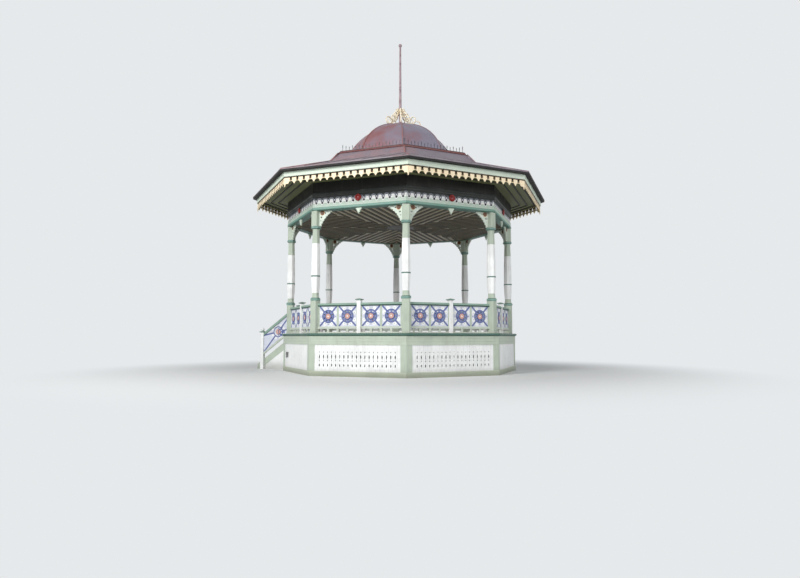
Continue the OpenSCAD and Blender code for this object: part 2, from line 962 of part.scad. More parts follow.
// Sawn board hanging under the soffit just behind the fascia: a pointed slot between each two
// lobes, an arched notch under the slot, and a corner lobe that hangs lower
module valance() {
    t = 20;
    face = eave_a - eave_t;
    half = face * tan(HALF);
    pitch = 2 * half / valance_lobes;
    slot_w = 0.24 * pitch;
    slot_low = 0.59 * valance_h;
    slot_top = 0.12 * valance_h;
    notch_w = 0.44 * pitch;
    notch_h = 0.34 * valance_h;
    drop = 90;
    corner = 58;
    arc_r = (pow(notch_w, 2) + pow(notch_h, 2)) / 2 / notch_h;
    color(cream) sides()
        mitred_plate(face - t / 2, t, soffit_z - valance_h - drop - eps, soffit_z)
            translate([0, soffit_z])
                difference() {
                    union() {
                        translate([-half, -valance_h]) square([2 * half, valance_h]);
                        for (m = [0, 1])
                            mirror([m, 0])
                                polygon([
                                    [half, -eps], [half - corner, -eps], [half - corner, 20 - valance_h],
                                    [half - 0.45 * corner, -valance_h - 0.4 * drop],
                                    [half - 0.25 * corner, -valance_h - drop], [half, -valance_h - drop]
                                ]);
                    }
                    for (i = [1:valance_lobes - 1])
                        translate([-half + i * pitch, 0]) {
                            polygon([
                                [-slot_w / 2, -slot_top], [slot_w / 2, -slot_top],
                                [slot_w / 2, slot_w / 2 - slot_low], [0, -slot_low],
                                [-slot_w / 2, slot_w / 2 - slot_low]
                            ]);
                            translate([0, notch_h - arc_r - valance_h]) circle(arc_r);
                        }
                }
}

// ---- Roof ----

module roof_edge() {
    back = eave_a - eave_t - 30;
    out = edge_a - 6;
    color(dark) sides()
        moulding([
            [back, fascia_top_z], [out, fascia_top_z], [out, roof_z(out) - roof_t],
            [back, roof_z(back) - roof_t]
        ]);
}

module lower_roof() {
    color(copper) sides()
        moulding([
            [edge_a, edge_z - roof_t], [edge_a, edge_z], [band_foot_a, band_z],
            [band_foot_a - 2 * roof_t, band_z], [band_foot_a - 2 * roof_t, band_z - roof_t],
            [band_foot_a, band_z - roof_t]
        ]);
}

module roof_band() {
    in = roof_t * 1.2;
    color(copper) sides()
        moulding([
            [band_foot_a, band_z], [band_top_a, ledge_z - roof_t], [band_top_a, ledge_z],
            [dome_a - roof_t - 30, ledge_z], [dome_a - roof_t - 30, ledge_z - roof_t],
            [band_top_a - in, ledge_z - roof_t], [band_foot_a - in, band_z]
        ]);
}

module band_moulding() {
    z = ledge_z - crest_mould_h;
    foot = slope_at(z, band_z, band_foot_a, ledge_z - roof_t, band_top_a);
    color(rust) sides()
        moulding([
            [foot, z], [foot + 26, z + 8], [band_top_a + 36, ledge_z - 22], [band_top_a + 36, ledge_z],
            [band_top_a, ledge_z], [band_top_a, ledge_z - roof_t]
        ]);
}

// Spearheads on a low rail, in turn short and tall, tallest at the corners
module cresting() {
    t = 10;
    a = band_top_a - 20;
    half = a * tan(HALF) - 26;
    count = 2 * round(half / crest_pitch);
    pitch = 2 * half / count;
    color(dark) sides(CRESTED)
        plate(a, t)
            translate([0, ledge_z]) {
                translate([-half - 6, 0]) square([2 * half + 12, 16]);
                for (i = [0:count])
                    translate([-half + i * pitch, 0])
                        spear(crest_h * (i == 0 || i == count ? 1.3 : i % 2 == 1 ? 1 : 0.8));
            }
}

module spear(h) {
    polygon([
        [-5, 0], [5, 0], [5, 0.48 * h], [17, 0.54 * h], [5, 0.60 * h], [12, 0.76 * h], [0, h],
        [-12, 0.76 * h], [-5, 0.60 * h], [-17, 0.54 * h], [-5, 0.48 * h]
    ]);
}

// Curve of the dome, pushed out by a distance, as [distance from the axis to a flat, height]
function dome_line(t, out) = [
    (dome_a + out) * pow(sin(t), 2 / dome_full),
    ledge_z + (dome_h + out) * pow(cos(t), 2 / dome_full)
];
// Angle at which the curve reaches a distance from the axis
function dome_turn(a) = asin(pow(a / dome_a, dome_full / 2));
// Top of a rib at a distance from the axis
function rib_z(a) = ledge_z + (dome_h + rib_up)
    * pow(1 - pow(a * cos(HALF) / (dome_a + rib_up), dome_full), 1 / dome_full);
// The dome's curve along a hip, down to an angle
function hip_line(last, out) = [
    for (i = [0:dome_steps]) let (p = dome_line(last * i / dome_steps, out)) [p.x / cos(HALF), p.y]
];

// Eight curved sides between their ribs, open round the pole
module dome() {
    turn = (90 - dome_turn(dome_eye)) / dome_steps;
    color(copper) sides()
        moulding(concat(
            [for (i = [dome_steps:-1:0]) dome_line(90 - i * turn, 0)],
            [for (i = [0:dome_steps]) dome_line(90 - i * turn, -roof_t)]
        ), rib_w);
}

module dome_ribs() {
    color(copper) corners()
        intersection() {
            rotate([90, 0, 90])
                linear_extrude(rib_w, center = true)
                    difference() {
                        polygon(concat(hip_line(90, rib_up), [[0, ledge_z]]));
                        polygon(concat(hip_line(90, -roof_t), [[0, ledge_z]]));
                    }
            translate([-rib_w, socket_r, ledge_z]) cube([2 * rib_w, 2 * dome_a, 2 * dome_h]);
        }
}

// Rings of one arm of the crown, as [distance from the axis, share of the climb, radius]. The
// first rests on the rib and the last meets the pole. One corner has lost its outer two.
SCROLLS = [[617, 0, 150], [455, 0.08, 60], [345, 0.27, 118], [235, 0.6, 102], [150, 0.82, 84], [112, 1, 72]];
BROKEN = 6;
LOST = 2;

// One upright board of scrolls, seated on the dome's rib
module scrolls(list) {
    t = 38;
    ring = 32;
    foot = rib_z(SCROLLS[0].x) + 123;
    climb = dome_top_z + crown_h - SCROLLS[5].z - foot;
    rotate([90, 0, 90]) linear_extrude(t, center = true) difference() {
        for (s = list)
            translate([s.x, foot + s.y * climb]) difference() {
                circle(s.z);
                circle(s.z - ring);
            }
        polygon(concat([[0, ledge_z]], hip_line(dome_turn(1000 * cos(HALF)), rib_up), [[1100, ledge_z]]));
    }
}

// Eight upright boards of scrolls that climb the dome's ribs to the flagpole
module crown() {
    color("gold")
        difference() {
            union() {
                corners([for (k = [0:7]) if (k != BROKEN) k]) scrolls(SCROLLS);
                corners([BROKEN]) scrolls([for (i = [LOST:len(SCROLLS) - 1]) SCROLLS[i]]);
            }
            pole();
        }
}

module pole() {
    translate([0, 0, pole_foot]) cylinder(h = pole_h, d1 = pole_d, d2 = 0.6 * pole_d);
}

// Tapered pole in a turned socket, with a ball on top
module flagpole() {
    r = pole_d / 2;
    seat = dome_line(dome_turn(dome_eye), 0).y - dome_top_z;
    color("lightgrey") {
        pole();
        translate([0, 0, pole_foot + pole_h + 0.4 * ball_d]) sphere(d = ball_d);
        translate([0, 0, dome_top_z])
            rotate_extrude()
                polygon([
                    [r - 6, seat], [socket_r, seat], [socket_r, 18], [r + 30, 44], [r + 16, 74], [r - 6, 74]
                ]);
    }
}

skirting();
base_panels();
corner_boards();
deck_fascia();
deck_nosing();
deck();
floor_joists();
columns();
balustrade_1();
balustrade_2();
balustrade_3();
balustrade_4();
balustrade_5();
balustrade_6();
balustrade_7();
entrance_panels();
top_rails();
bottom_rails();
rail_newels();
stair_treads();
stair_risers();
stair_strings();
stair_sides();
stair_panels();
stair_rails();
stair_newels();
ring_beam();
beam_strip();
frieze();
roundels();
cornice();
brackets();
beam_pendants();
ceiling();
soffit();
eave_fascia();
valance();
roof_edge();
lower_roof();
roof_band();
band_moulding();
cresting();
dome();
dome_ribs();
crown();
flagpole();
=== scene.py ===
"""Looks of an octagonal park bandstand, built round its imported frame.

Metres, +Z up. The flagpole stands on the Z axis, a corner post on each axis and diagonal,
and the stair leaves the left rear side.
"""

import logging
import math
from dataclasses import dataclass
from enum import Enum
from typing import ClassVar, Optional, Sequence, Union

import bmesh
import bpy
import numpy as np
from mathutils import Matrix, Vector


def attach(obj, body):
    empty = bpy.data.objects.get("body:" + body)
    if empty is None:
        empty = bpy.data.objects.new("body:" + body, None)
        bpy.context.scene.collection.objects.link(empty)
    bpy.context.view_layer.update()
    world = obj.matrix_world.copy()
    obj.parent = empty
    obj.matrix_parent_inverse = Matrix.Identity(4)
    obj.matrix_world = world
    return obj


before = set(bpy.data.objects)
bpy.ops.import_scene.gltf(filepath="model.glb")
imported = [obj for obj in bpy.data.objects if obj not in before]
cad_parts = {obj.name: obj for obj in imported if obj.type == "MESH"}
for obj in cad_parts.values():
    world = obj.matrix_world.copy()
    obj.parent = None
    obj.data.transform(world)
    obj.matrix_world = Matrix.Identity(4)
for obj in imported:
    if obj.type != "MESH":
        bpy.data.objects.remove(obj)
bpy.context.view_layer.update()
LOG = logging.getLogger("bandstand")

SIDES = 8
STAIR_SIDE = 5
HALF = math.radians(22.5)
FIRST_SIDE = math.radians(-67.5)
MM = 0.001
# A painted band that ends at an edge reaches this far past it
PAST = 1 * MM
# Distance between two rings of a row that has only one ring on each hand
LONE = 10.0
# A point nearer to a saw cut than this lies on it
ON_CUT = 1e-6
# How far the patterns of two neighbouring sides are moved apart, in marks
APART = (37.0, 19.0, 11.0)

# Kinds of node, and the settings that most of them share. A map range turns its input 0 from
# the range 1 to 2 into 3 to 4, and a mix goes from 6 to 7 as its input 0 goes from 0 to 1.
MATH = "ShaderNodeMath"
VECTOR = "ShaderNodeVectorMath"
NOISE = "ShaderNodeTexNoise"
BUMP = "ShaderNodeBump"
RANGE = "ShaderNodeMapRange"
SMOOTH = {"interpolation_type": "SMOOTHSTEP"}
MIX = "ShaderNodeMix"
OVER = {"out": 2, "data_type": "RGBA"}
SHADE = {"out": 2, "data_type": "RGBA", "blend_type": "MULTIPLY"}

Tree = bpy.types.NodeTree
Socket = bpy.types.NodeSocket
BMesh = bmesh.types.BMesh
Value = Union[int, float, tuple, Socket]
Range = dict[int, float]
Pair = tuple[float, float]
Triple = tuple[float, float, float]


def linear(colour: str) -> tuple[float, float, float, float]:
    """Turn an sRGB hex colour into the linear colour that shaders use.

    Args:
        colour: Six hex digits after a hash sign.

    Returns:
        Red, green, blue and an alpha of 1, in linear light.
    """
    parts = [int(colour[i:i + 2], 16) / 255 for i in (1, 3, 5)]
    return (*[c / 12.92 if c <= 0.04045 else ((c + 0.055) / 1.055) ** 2.4 for c in parts], 1.0)


def add(tree: Tree, kind: str, inputs: Optional[dict] = None, out: Union[int, str] = 0,
        **settings: object) -> Socket:
    """Add one node with its settings, and set or link its inputs.

    Args:
        tree: The node tree that takes the node.
        kind: The node's type, such as ShaderNodeMath.
        inputs: A value or a socket to link for each input's name or number.
        out: The output that the caller wants.
        **settings: The node's own properties.

    Returns:
        The output socket asked for.
    """
    node = tree.nodes.new(kind)
    for name, setting in settings.items():
        setattr(node, name, setting)
    for name, value in (inputs or {}).items():
        if isinstance(value, Socket):
            tree.links.new(value, node.inputs[name])
        else:
            node.inputs[name].default_value = value
    return node.outputs[out] if node.outputs else node.inputs[0]


def blank(owner: Union[bpy.types.Material, bpy.types.World]) -> Tree:
    """Give a material or world an empty node tree, and return the tree."""
    owner.use_nodes = True
    owner.node_tree.nodes.clear()
    return owner.node_tree


def put(name: str, data: bpy.types.ID) -> bpy.types.Object:
    """Put a mesh, lamp or camera in the scene as an object at the origin, and return that."""
    made = bpy.data.objects.new(name, data)
    bpy.context.scene.collection.objects.link(made)
    return made


class Grain(Enum):
    """The way that boards, brush marks or rolling run on a piece."""

    ALONG = "along the side"
    UP = "up"
    OUT = "away from the axis"


@dataclass(frozen=True)
class Place:
    """Where a point of the surface is, with all eight sides folded onto one.

    Attributes:
        tree: The material's node tree.
        point: Object coordinates.
        z: Height above the ground.
        u: Distance along the side, from its middle.
        d: Distance from the flagpole to the point, square to the side.
        side: A number that tells the sides apart.
    """

    tree: Tree
    point: Socket
    z: Socket
    u: Socket
    d: Socket
    side: Socket

    @classmethod
    def of(cls, tree: Tree) -> "Place":
        """Fold the object coordinates of a tree, and return them as a place."""
        point = add(tree, "ShaderNodeTexCoord", out="Object")
        axes = add(tree, "ShaderNodeSeparateXYZ", {0: point}).node.outputs
        flat = add(tree, VECTOR, {0: point, 1: (1.0, 1.0, 0.0)}, operation="MULTIPLY")
        radius = add(tree, VECTOR, {0: flat}, out="Value", operation="LENGTH")
        angle = add(tree, MATH, {0: axes[1], 1: axes[0]}, operation="ARCTAN2")
        turn = add(tree, MATH, {0: angle, 1: FIRST_SIDE}, operation="SUBTRACT")
        fold = add(tree, MATH, {0: turn, 1: HALF, 2: -HALF}, operation="WRAP")
        middle = add(tree, MATH, {0: turn, 1: fold}, operation="SUBTRACT")
        side = add(tree, MATH, {0: middle, 1: 2 * HALF}, operation="DIVIDE")
        parts = [add(tree, MATH, {0: fold}, operation=part) for part in ("SINE", "COSINE")]
        u, d = (add(tree, MATH, {0: radius, 1: part}, operation="MULTIPLY") for part in parts)
        return cls(tree, point, axes[2], u, d, side)

    def marks(self, grain: Grain, size_mm: Pair, **inputs: float) -> Socket:
        """Noise that is drawn out along the grain and differs from side to side.

        Args:
            grain: The way that the marks run.
            size_mm: Width and length of one mark.
            **inputs: Detail of the noise and its other inputs.

        Returns:
            The noise.
        """
        wide, long = (1 / (mm * MM) for mm in size_mm)
        scale = {
            Grain.ALONG: (long, wide, wide),
            Grain.UP: (wide, wide, long),
            Grain.OUT: (wide, long, wide),
        }[grain]
        folded = add(self.tree, "ShaderNodeCombineXYZ", {0: self.u, 1: self.d, 2: self.z})
        marks = add(self.tree, VECTOR, {0: folded, 1: scale}, operation="MULTIPLY")
        vector = add(self.tree, VECTOR, {0: self.side, 1: APART, 2: marks},
                     operation="MULTIPLY_ADD")
        return add(self.tree, NOISE, {"Vector": vector, "Scale": 1.0, **inputs})

    def spots(self, size_mm: float, **inputs: float) -> Socket:
        """Noise with spots of this size, the same in all directions."""
        scale = 1 / (size_mm * MM)
        return add(self.tree, NOISE, {"Vector": self.point, "Scale": scale, **inputs})

    def joints(self, across: Socket, board: float, groove: Triple,
               colour: Value) -> tuple[Socket, Socket]:
        """Joints between boards or sheets, darkened.

        Args:
            across: Distance across the boards.
            board: Width of a board with its joint.
            groove: Distances from a joint's middle at which its edge starts and ends, and what
                is left of the colour in it.
            colour: The boards' colour.

        Returns:
            A height of 0 in a joint and 1 outside it, and the colour with the joints.
        """
        near = add(self.tree, MATH, {0: across, 1: board / 2}, operation="PINGPONG")
        joint = add(self.tree, RANGE, {0: near, 1: groove[0], 2: groove[1]}, **SMOOTH)
        left = add(self.tree, RANGE, {0: joint, 3: groove[2], 4: 1.0})
        return joint, add(self.tree, MIX, {0: 1.0, 6: colour, 7: left}, **SHADE)


@dataclass(frozen=True)
class Band:
    """Paint of another colour between two heights.

    Attributes:
        colour: The paint's colour.
        low: Height at which it starts.
        high: Height at which it ends.
    """

    colour: str
    low: float
    high: float

    def mask(self, at: Place) -> Socket:
        """1 between the two heights, and 0 elsewhere."""
        middle, reach = (self.low + self.high) / 2, (self.high - self.low) / 2
        return add(at.tree, MATH, {0: at.z, 1: middle, 2: reach}, operation="COMPARE")


@dataclass(frozen=True)
class Relief:
    """Paint of another colour on what stands proud of a board.

    Attributes:
        colour: The paint's colour.
        plane: Distance to the middle of the board, from the flagpole or, where the board
            stands square to the side, from the middle of the side.
        proud: Least distance from the board's middle that is painted.
        across: Whether the board stands square to the side, as on the stair.
    """

    colour: str
    plane: float
    proud: float
    across: bool = False

    def mask(self, at: Place) -> Socket:
        """1 on the raised parts, and 0 elsewhere."""
        away = at.d
        if self.across:
            away = add(at.tree, MATH, {0: at.u}, operation="ABSOLUTE")
        depth = add(at.tree, MATH, {0: away, 1: self.plane}, operation="SUBTRACT")
        height = add(at.tree, MATH, {0: depth}, operation="ABSOLUTE")
        return add(at.tree, MATH, {0: height, 1: self.proud}, operation="GREATER_THAN")


@dataclass(frozen=True)
class Rings:
    """Painted rings in a row on both hands of a side's middle.

    Attributes:
        colour: The paint's colour.
        first: Distance from the side's middle to the first ring's middle.
        pitch: Distance between two rings.
        height: Height of their middles above the ground.
        inner: Inner radius.
        outer: Outer radius.
        across: Whether the board stands square to the side, with first from the flagpole.
    """

    colour: str
    first: float
    pitch: float
    height: float
    inner: float
    outer: float
    across: bool = False

    def mask(self, at: Place) -> Socket:
        """1 on the rings, and 0 elsewhere."""
        half = self.pitch / 2
        out = add(at.tree, MATH, {0: at.d if self.across else at.u}, operation="ABSOLUTE")
        moved = add(at.tree, MATH, {0: out, 1: self.first}, operation="SUBTRACT")
        u = add(at.tree, MATH, {0: moved, 1: half, 2: -half}, operation="WRAP")
        v = add(at.tree, MATH, {0: at.z, 1: self.height}, operation="SUBTRACT")
        spot = add(at.tree, "ShaderNodeCombineXYZ", {0: u, 1: v})
        away = add(at.tree, VECTOR, {0: spot}, out="Value", operation="LENGTH")
        middle, reach = (self.inner + self.outer) / 2, (self.outer - self.inner) / 2
        return add(at.tree, MATH, {0: away, 1: middle, 2: reach}, operation="COMPARE")


@dataclass(frozen=True)
class Comb:
    """Painted upright strips in a row on both hands of a side's middle, one of them on it.

    Attributes:
        colour: The paint's colour.
        pitch: Distance between two strips.
        last: Distance from the side's middle past which there is no strip.
        half: Half a strip's width.
        low: Height at which the strips start.
        high: Height at which they end.
    """

    colour: str
    pitch: float
    last: float
    half: float
    low: float
    high: float

    def mask(self, at: Place) -> Socket:
        """1 on the strips, and 0 elsewhere."""
        out = add(at.tree, MATH, {0: at.u}, operation="ABSOLUTE")
        u = add(at.tree, MATH, {0: out, 1: self.pitch / 2, 2: -self.pitch / 2}, operation="WRAP")
        strip = add(at.tree, MATH, {0: u, 1: 0.0, 2: self.half}, operation="COMPARE")
        inside = add(at.tree, MATH, {0: out, 1: self.last}, operation="LESS_THAN")
        row = add(at.tree, MATH, {0: strip, 1: inside}, operation="MULTIPLY")
        height = Band(self.colour, self.low, self.high).mask(at)
        return add(at.tree, MATH, {0: row, 1: height}, operation="MULTIPLY")


Patch = Union[Band, Relief, Rings, Comb]


@dataclass(frozen=True)
class Finish:
    """One real material and how its surface was made.

    Attributes:
        name: The material's name.
    """

    name: str

    def surface(self, at: Place) -> dict[str, Value]:
        """Inputs of the shader for this finish.

        Args:
            at: Where the point is.

        Returns:
            A value or socket for each input that isn't left at its default.
        """
        raise NotImplementedError

    def make(self) -> bpy.types.Material:
        """Make the material."""
        material = bpy.data.materials.new(self.name)
        tree = blank(material)
        shader = add(tree, "ShaderNodeBsdfPrincipled", self.surface(Place.of(tree)), out="BSDF")
        add(tree, "ShaderNodeOutputMaterial", {"Surface": shader})
        return material


@dataclass(frozen=True)
class OilPaint(Finish):
    """Oil paint brushed on softwood: satin, with brush marks along the grain that catch the
    light, a chalky bloom in patches and grey rain streaks that run down from each joint.

    Attributes:
        colour: The paint's colour.
        grime: Colour of the dirt in the streaks.
        dirt: Strength of the streaks.
        grain: The way that the boards and brush marks run.
        board: Width of a board with its joint, or 0 where no joint shows.
        offset: Where the first joint lies, across the boards.
        patches: Areas in other colours, in the order in which they were painted.
        splash: Height to which rain splashes dirt up from the ground.
    """

    colour: str
    grime: str = "#77776A"
    dirt: float = 0.22
    grain: Grain = Grain.UP
    board: float = 0.0
    offset: float = 0.0
    patches: tuple[Patch, ...] = ()
    splash: float = 0.0

    # Brush marks show only as a sheen, rain streaks as stains, and the bloom as paler areas
    brush_mm: ClassVar[Pair] = (3.0, 90.0)
    streak_mm: ClassVar[Pair] = (60.0, 700.0)
    bloom_mm: ClassVar[float] = 450.0
    groove: ClassVar[Triple] = (0.0, 3 * MM, 0.5)
    # Strength of the splashed dirt at the ground
    splashed: ClassVar[float] = 0.5
    # What noise becomes: brightness, dirt, height of the brush marks, and roughness
    chalk: ClassVar[Range] = {1: 0.3, 2: 0.72, 3: 0.9, 4: 1.03}
    soiling: ClassVar[Range] = {1: 0.48, 2: 0.78}
    ridges: ClassVar[Range] = {1: 0.2, 2: 0.8, 4: 0.35}
    satin: ClassVar[Range] = {1: 0.3, 2: 0.7, 3: 0.42, 4: 0.62}

    def surface(self, at: Place) -> dict[str, Value]:
        """Inputs of the shader for brushed paint."""
        tree = at.tree
        colour: Value = linear(self.colour)
        for patch in self.patches:
            inputs = {0: patch.mask(at), 6: colour, 7: linear(patch.colour)}
            colour = add(tree, MIX, inputs, **OVER)
        bloom = at.spots(self.bloom_mm, Detail=4.0, Roughness=0.6)
        bright = add(tree, RANGE, {0: bloom, **self.chalk}, **SMOOTH)
        colour = add(tree, MIX, {0: 1.0, 6: colour, 7: bright}, **SHADE)
        streaks = at.marks(Grain.UP, self.streak_mm, Detail=5.0, Roughness=0.65)
        soiled = add(tree, RANGE, {0: streaks, **self.soiling, 4: self.dirt}, **SMOOTH)
        if self.splash:
            low = add(tree, RANGE, {0: at.z, 2: self.splash, 3: self.splashed, 4: 0.0}, **SMOOTH)
            soiled = add(tree, MATH, {0: soiled, 1: low}, operation="MAXIMUM")
        colour = add(tree, MIX, {0: soiled, 6: colour, 7: linear(self.grime)}, **OVER)
        marks = at.marks(self.grain, self.brush_mm, Detail=2.0)
        height = add(tree, RANGE, {0: marks, **self.ridges}, **SMOOTH)
        if self.board:
            across = at.z if self.grain is Grain.ALONG else at.u
            moved = add(tree, MATH, {0: across, 1: self.offset}, operation="SUBTRACT")
            joint, colour = at.joints(moved, self.board, self.groove, colour)
            height = add(tree, MATH, {0: height, 1: joint}, operation="ADD")
        return {
            "Base Color": colour,
            "Roughness": add(tree, RANGE, {0: bloom, **self.satin}, **SMOOTH),
            "IOR": 1.48,
            "Normal": add(tree, BUMP, {"Strength": 0.5, "Distance": 1.2 * MM, "Height": height}),
        }


@dataclass(frozen=True)
class StainedBoards(Finish):
    """Planed softwood boards under a thin stain: each board its own tone, with fine dark grain
    lines along it and a dull surface.

    Attributes:
        colour: The commonest tone.
        dark: The darkest tone.
        grain: The way that the boards run.
        board: Width of one board with its joint, or 0 where each board is a piece of its own.
    """

    colour: str
    dark: str
    grain: Grain = Grain.OUT
    board: float = 0.0

    # Growth rings show as fine low lines on a sawn face, and each board has its own tone
    ring_mm: ClassVar[Pair] = (6.0, 420.0)
    ring_height: ClassVar[float] = 0.15
    tone_mm: ClassVar[Pair] = (150.0, 4000.0)
    groove: ClassVar[Triple] = (2.5 * MM, 5 * MM, 0.15)
    # What noise becomes: strength of the grain lines, and brightness
    lines: ClassVar[Range] = {1: 0.42, 2: 0.75, 4: 0.55}
    tones: ClassVar[Range] = {1: 0.3, 2: 0.7, 3: 0.78, 4: 1.12}

    def surface(self, at: Place) -> dict[str, Value]:
        """Inputs of the shader for stained boards."""
        tree = at.tree
        rings = at.marks(self.grain, self.ring_mm, Detail=4.0, Distortion=0.4)
        line = add(tree, RANGE, {0: rings, **self.lines}, **SMOOTH)
        colour = add(tree, MIX, {0: line, 6: linear(self.colour), 7: linear(self.dark)}, **OVER)
        areas = at.marks(self.grain, self.tone_mm, Detail=1.0)
        tone = add(tree, RANGE, {0: areas, **self.tones})
        colour = add(tree, MIX, {0: 1.0, 6: colour, 7: tone}, **SHADE)
        height = rings
        if self.board:
            across = at.d if self.grain is Grain.ALONG else at.u
            joint, colour = at.joints(across, self.board, self.groove, colour)
            height = add(tree, MATH, {0: rings, 1: self.ring_height, 2: joint},
                         operation="MULTIPLY_ADD")
        return {
            "Base Color": colour,
            "Roughness": 0.68,
            "IOR": 1.5,
            "Normal": add(tree, BUMP, {"Strength": 0.6, "Distance": 2 * MM, "Height": height}),
        }


@dataclass(frozen=True)
class WeatheredSheet(Finish):
    """Rolled copper sheet, dulled to a mauve grey, with rose and red-brown bare patches that grow
    towards -X, faint streaks down the fall and a lapped joint every course.

    Attributes:
        colour: The grey of the dull sheet.
        rose: The rose of the thin patches.
        brown: The red-brown of the bare patches.
        rosy: Share of the sheet that is rose, on the average.
        grain: The way that rain runs.
        course: Height of one course of sheets, or 0 where no joint shows.
    """

    colour: str
    rose: str
    brown: str
    rosy: float = 0.4
    grain: Grain = Grain.OUT
    course: float = 0.0

    # Patches as wide as a sheet, narrow runs half as strong, shallow dents, and a lapped joint
    patch_mm: ClassVar[float] = 850.0
    streak_mm: ClassVar[Pair] = (45.0, 900.0)
    streaky: ClassVar[float] = 0.5
    dent_mm: ClassVar[float] = 160.0
    lap: ClassVar[Triple] = (0.0, 6 * MM, 0.72)
    lap_height: ClassVar[float] = 1.5
    # Rose and brown grow towards -X, up to a limit
    minus_x_tint: ClassVar[Triple] = (-0.2, -0.03, 0.0)
    minus_x_tint_most: ClassVar[float] = 0.18
    # Noise at the middle of the patches on a sheet that isn't rosy
    even: ClassVar[float] = 1.12
    # Noise at which rose and brown start and are full, from its middle, and their strength
    blush: ClassVar[Triple] = (-0.14, 0.22, 1.0)
    bared: ClassVar[Triple] = (0.12, 0.42, 0.8)
    # What noise becomes: brightness, and roughness
    wash: ClassVar[Range] = {1: 0.3, 2: 0.7, 3: 0.86, 4: 1.08}
    dull: ClassVar[Range] = {1: 0.3, 2: 0.7, 3: 0.48, 4: 0.66}

    def surface(self, at: Place) -> dict[str, Value]:
        """Inputs of the shader for dulled copper."""
        tree = at.tree
        patches = at.spots(self.patch_mm, Detail=4.0, Roughness=0.55, Distortion=0.3)
        minus_x_lean = add(tree, VECTOR, {0: at.point, 1: self.minus_x_tint}, out="Value",
                  operation="DOT_PRODUCT")
        held = add(tree, MATH, {0: minus_x_lean, 1: self.minus_x_tint_most}, operation="MINIMUM")
        lean = add(tree, MATH, {0: held, 1: patches}, operation="ADD")
        streaks = at.marks(self.grain, self.streak_mm, Detail=5.0, Roughness=0.6)
        runs = add(tree, MATH, {0: streaks, 1: self.streaky, 2: lean}, operation="MULTIPLY_ADD")
        colour: Value = linear(self.colour)
        middle = self.even - self.rosy
        for tint, (start, full, most) in ((self.rose, self.blush), (self.brown, self.bared)):
            reach = {1: middle + start, 2: middle + full, 4: most}
            share = add(tree, RANGE, {0: runs, **reach}, **SMOOTH)
            colour = add(tree, MIX, {0: share, 6: colour, 7: linear(tint)}, **OVER)
        bright = add(tree, RANGE, {0: streaks, **self.wash}, **SMOOTH)
        colour = add(tree, MIX, {0: 1.0, 6: colour, 7: bright}, **SHADE)
        dents = at.spots(self.dent_mm, Detail=2.0)
        height = dents
        if self.course:
            joint, colour = at.joints(at.z, self.course, self.lap, colour)
            height = add(tree, MATH, {0: joint, 1: self.lap_height, 2: dents},
                         operation="MULTIPLY_ADD")
        return {
            "Base Color": colour,
            "Roughness": add(tree, RANGE, {0: patches, **self.dull}, **SMOOTH),
            "Metallic": 0.15,
            "Normal": add(tree, BUMP, {"Strength": 0.35, "Distance": 4 * MM, "Height": height}),
        }


@dataclass(frozen=True)
class PaintedMetal(Finish):
    """Paint on cast or drawn metal: a hard satin coat that bares a second colour in worn spots,
    over the fine roughness of the casting.

    Attributes:
        colour: The paint's colour.
        bare: The colour that shows in worn spots.
        worn: Share of the surface that is worn.
        spot_mm: Size of a worn spot.
        roughness: Roughness of the coat.
        metallic: How metallic the coat is, as with gold or aluminium leaf.
    """

    colour: str
    bare: str
    worn: float = 0.2
    spot_mm: float = 60.0
    roughness: float = 0.45
    metallic: float = 0.0

    # Casting sand leaves a grit of 2 mm, drawn larger here so that it shows
    grit_mm: ClassVar[float] = 5.0
    # Noise at the edge of a worn spot with no wear, and what full wear takes off
    sound: ClassVar[Pair] = (0.72, 0.45)
    # Noise across that edge, and roughness round that of the coat
    fringe: ClassVar[Pair] = (-0.08, 0.1)
    satin: ClassVar[Pair] = (-0.06, 0.12)

    def surface(self, at: Place) -> dict[str, Value]:
        """Inputs of the shader for painted metal."""
        tree = at.tree
        spots = at.spots(self.spot_mm, Detail=5.0, Roughness=0.65)
        edge = self.sound[0] - self.sound[1] * self.worn
        start, full = (edge + reach for reach in self.fringe)
        bare = add(tree, RANGE, {0: spots, 1: start, 2: full}, **SMOOTH)
        colour = add(tree, MIX, {0: bare, 6: linear(self.colour), 7: linear(self.bare)}, **OVER)
        grit = at.spots(self.grit_mm)
        least, most = (self.roughness + reach for reach in self.satin)
        rough = add(tree, RANGE, {0: spots, 1: 0.3, 2: 0.7, 3: least, 4: most}, **SMOOTH)
        return {
            "Base Color": colour,
            "Roughness": rough,
            "Metallic": self.metallic,
            "Normal": add(tree, BUMP, {"Strength": 0.3, "Distance": 0.6 * MM, "Height": grit}),
        }


@dataclass(frozen=True)
class Span:
    """How far a node reaches, measured square to one side of the stand.

    Attributes:
        u: Least and greatest distance along the side, from its middle, on either hand.
        d: Least and greatest distance from the flagpole, square to the side.
        z: Least and greatest height.
    """

    u: Pair
    d: Pair
    z: Pair

    @classmethod
    def of(cls, node: str, side: int = 0) -> "Span":
        """Measure a CAD node.

        Args:
            node: Name of the node.
            side: The side that it is measured from.

        Returns:
            Its reach.
        """
        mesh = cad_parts[node].data
        points = np.empty(len(mesh.vertices) * 3, np.float32)
        mesh.vertices.foreach_get("co", points)
        x, y, z = points.reshape(-1, 3).T
        angle = FIRST_SIDE + 2 * side * HALF
        out = x * math.cos(angle) + y * math.sin(angle)
        along = np.abs(y * math.cos(angle) - x * math.sin(angle))
        return cls(*[(float(v.min()), float(v.max())) for v in (along, out, z)])

    def middle(self) -> Triple:
        """Halfway along the side, away from the flagpole and up."""
        return sum(self.u) / 2, sum(self.d) / 2, sum(self.z) / 2


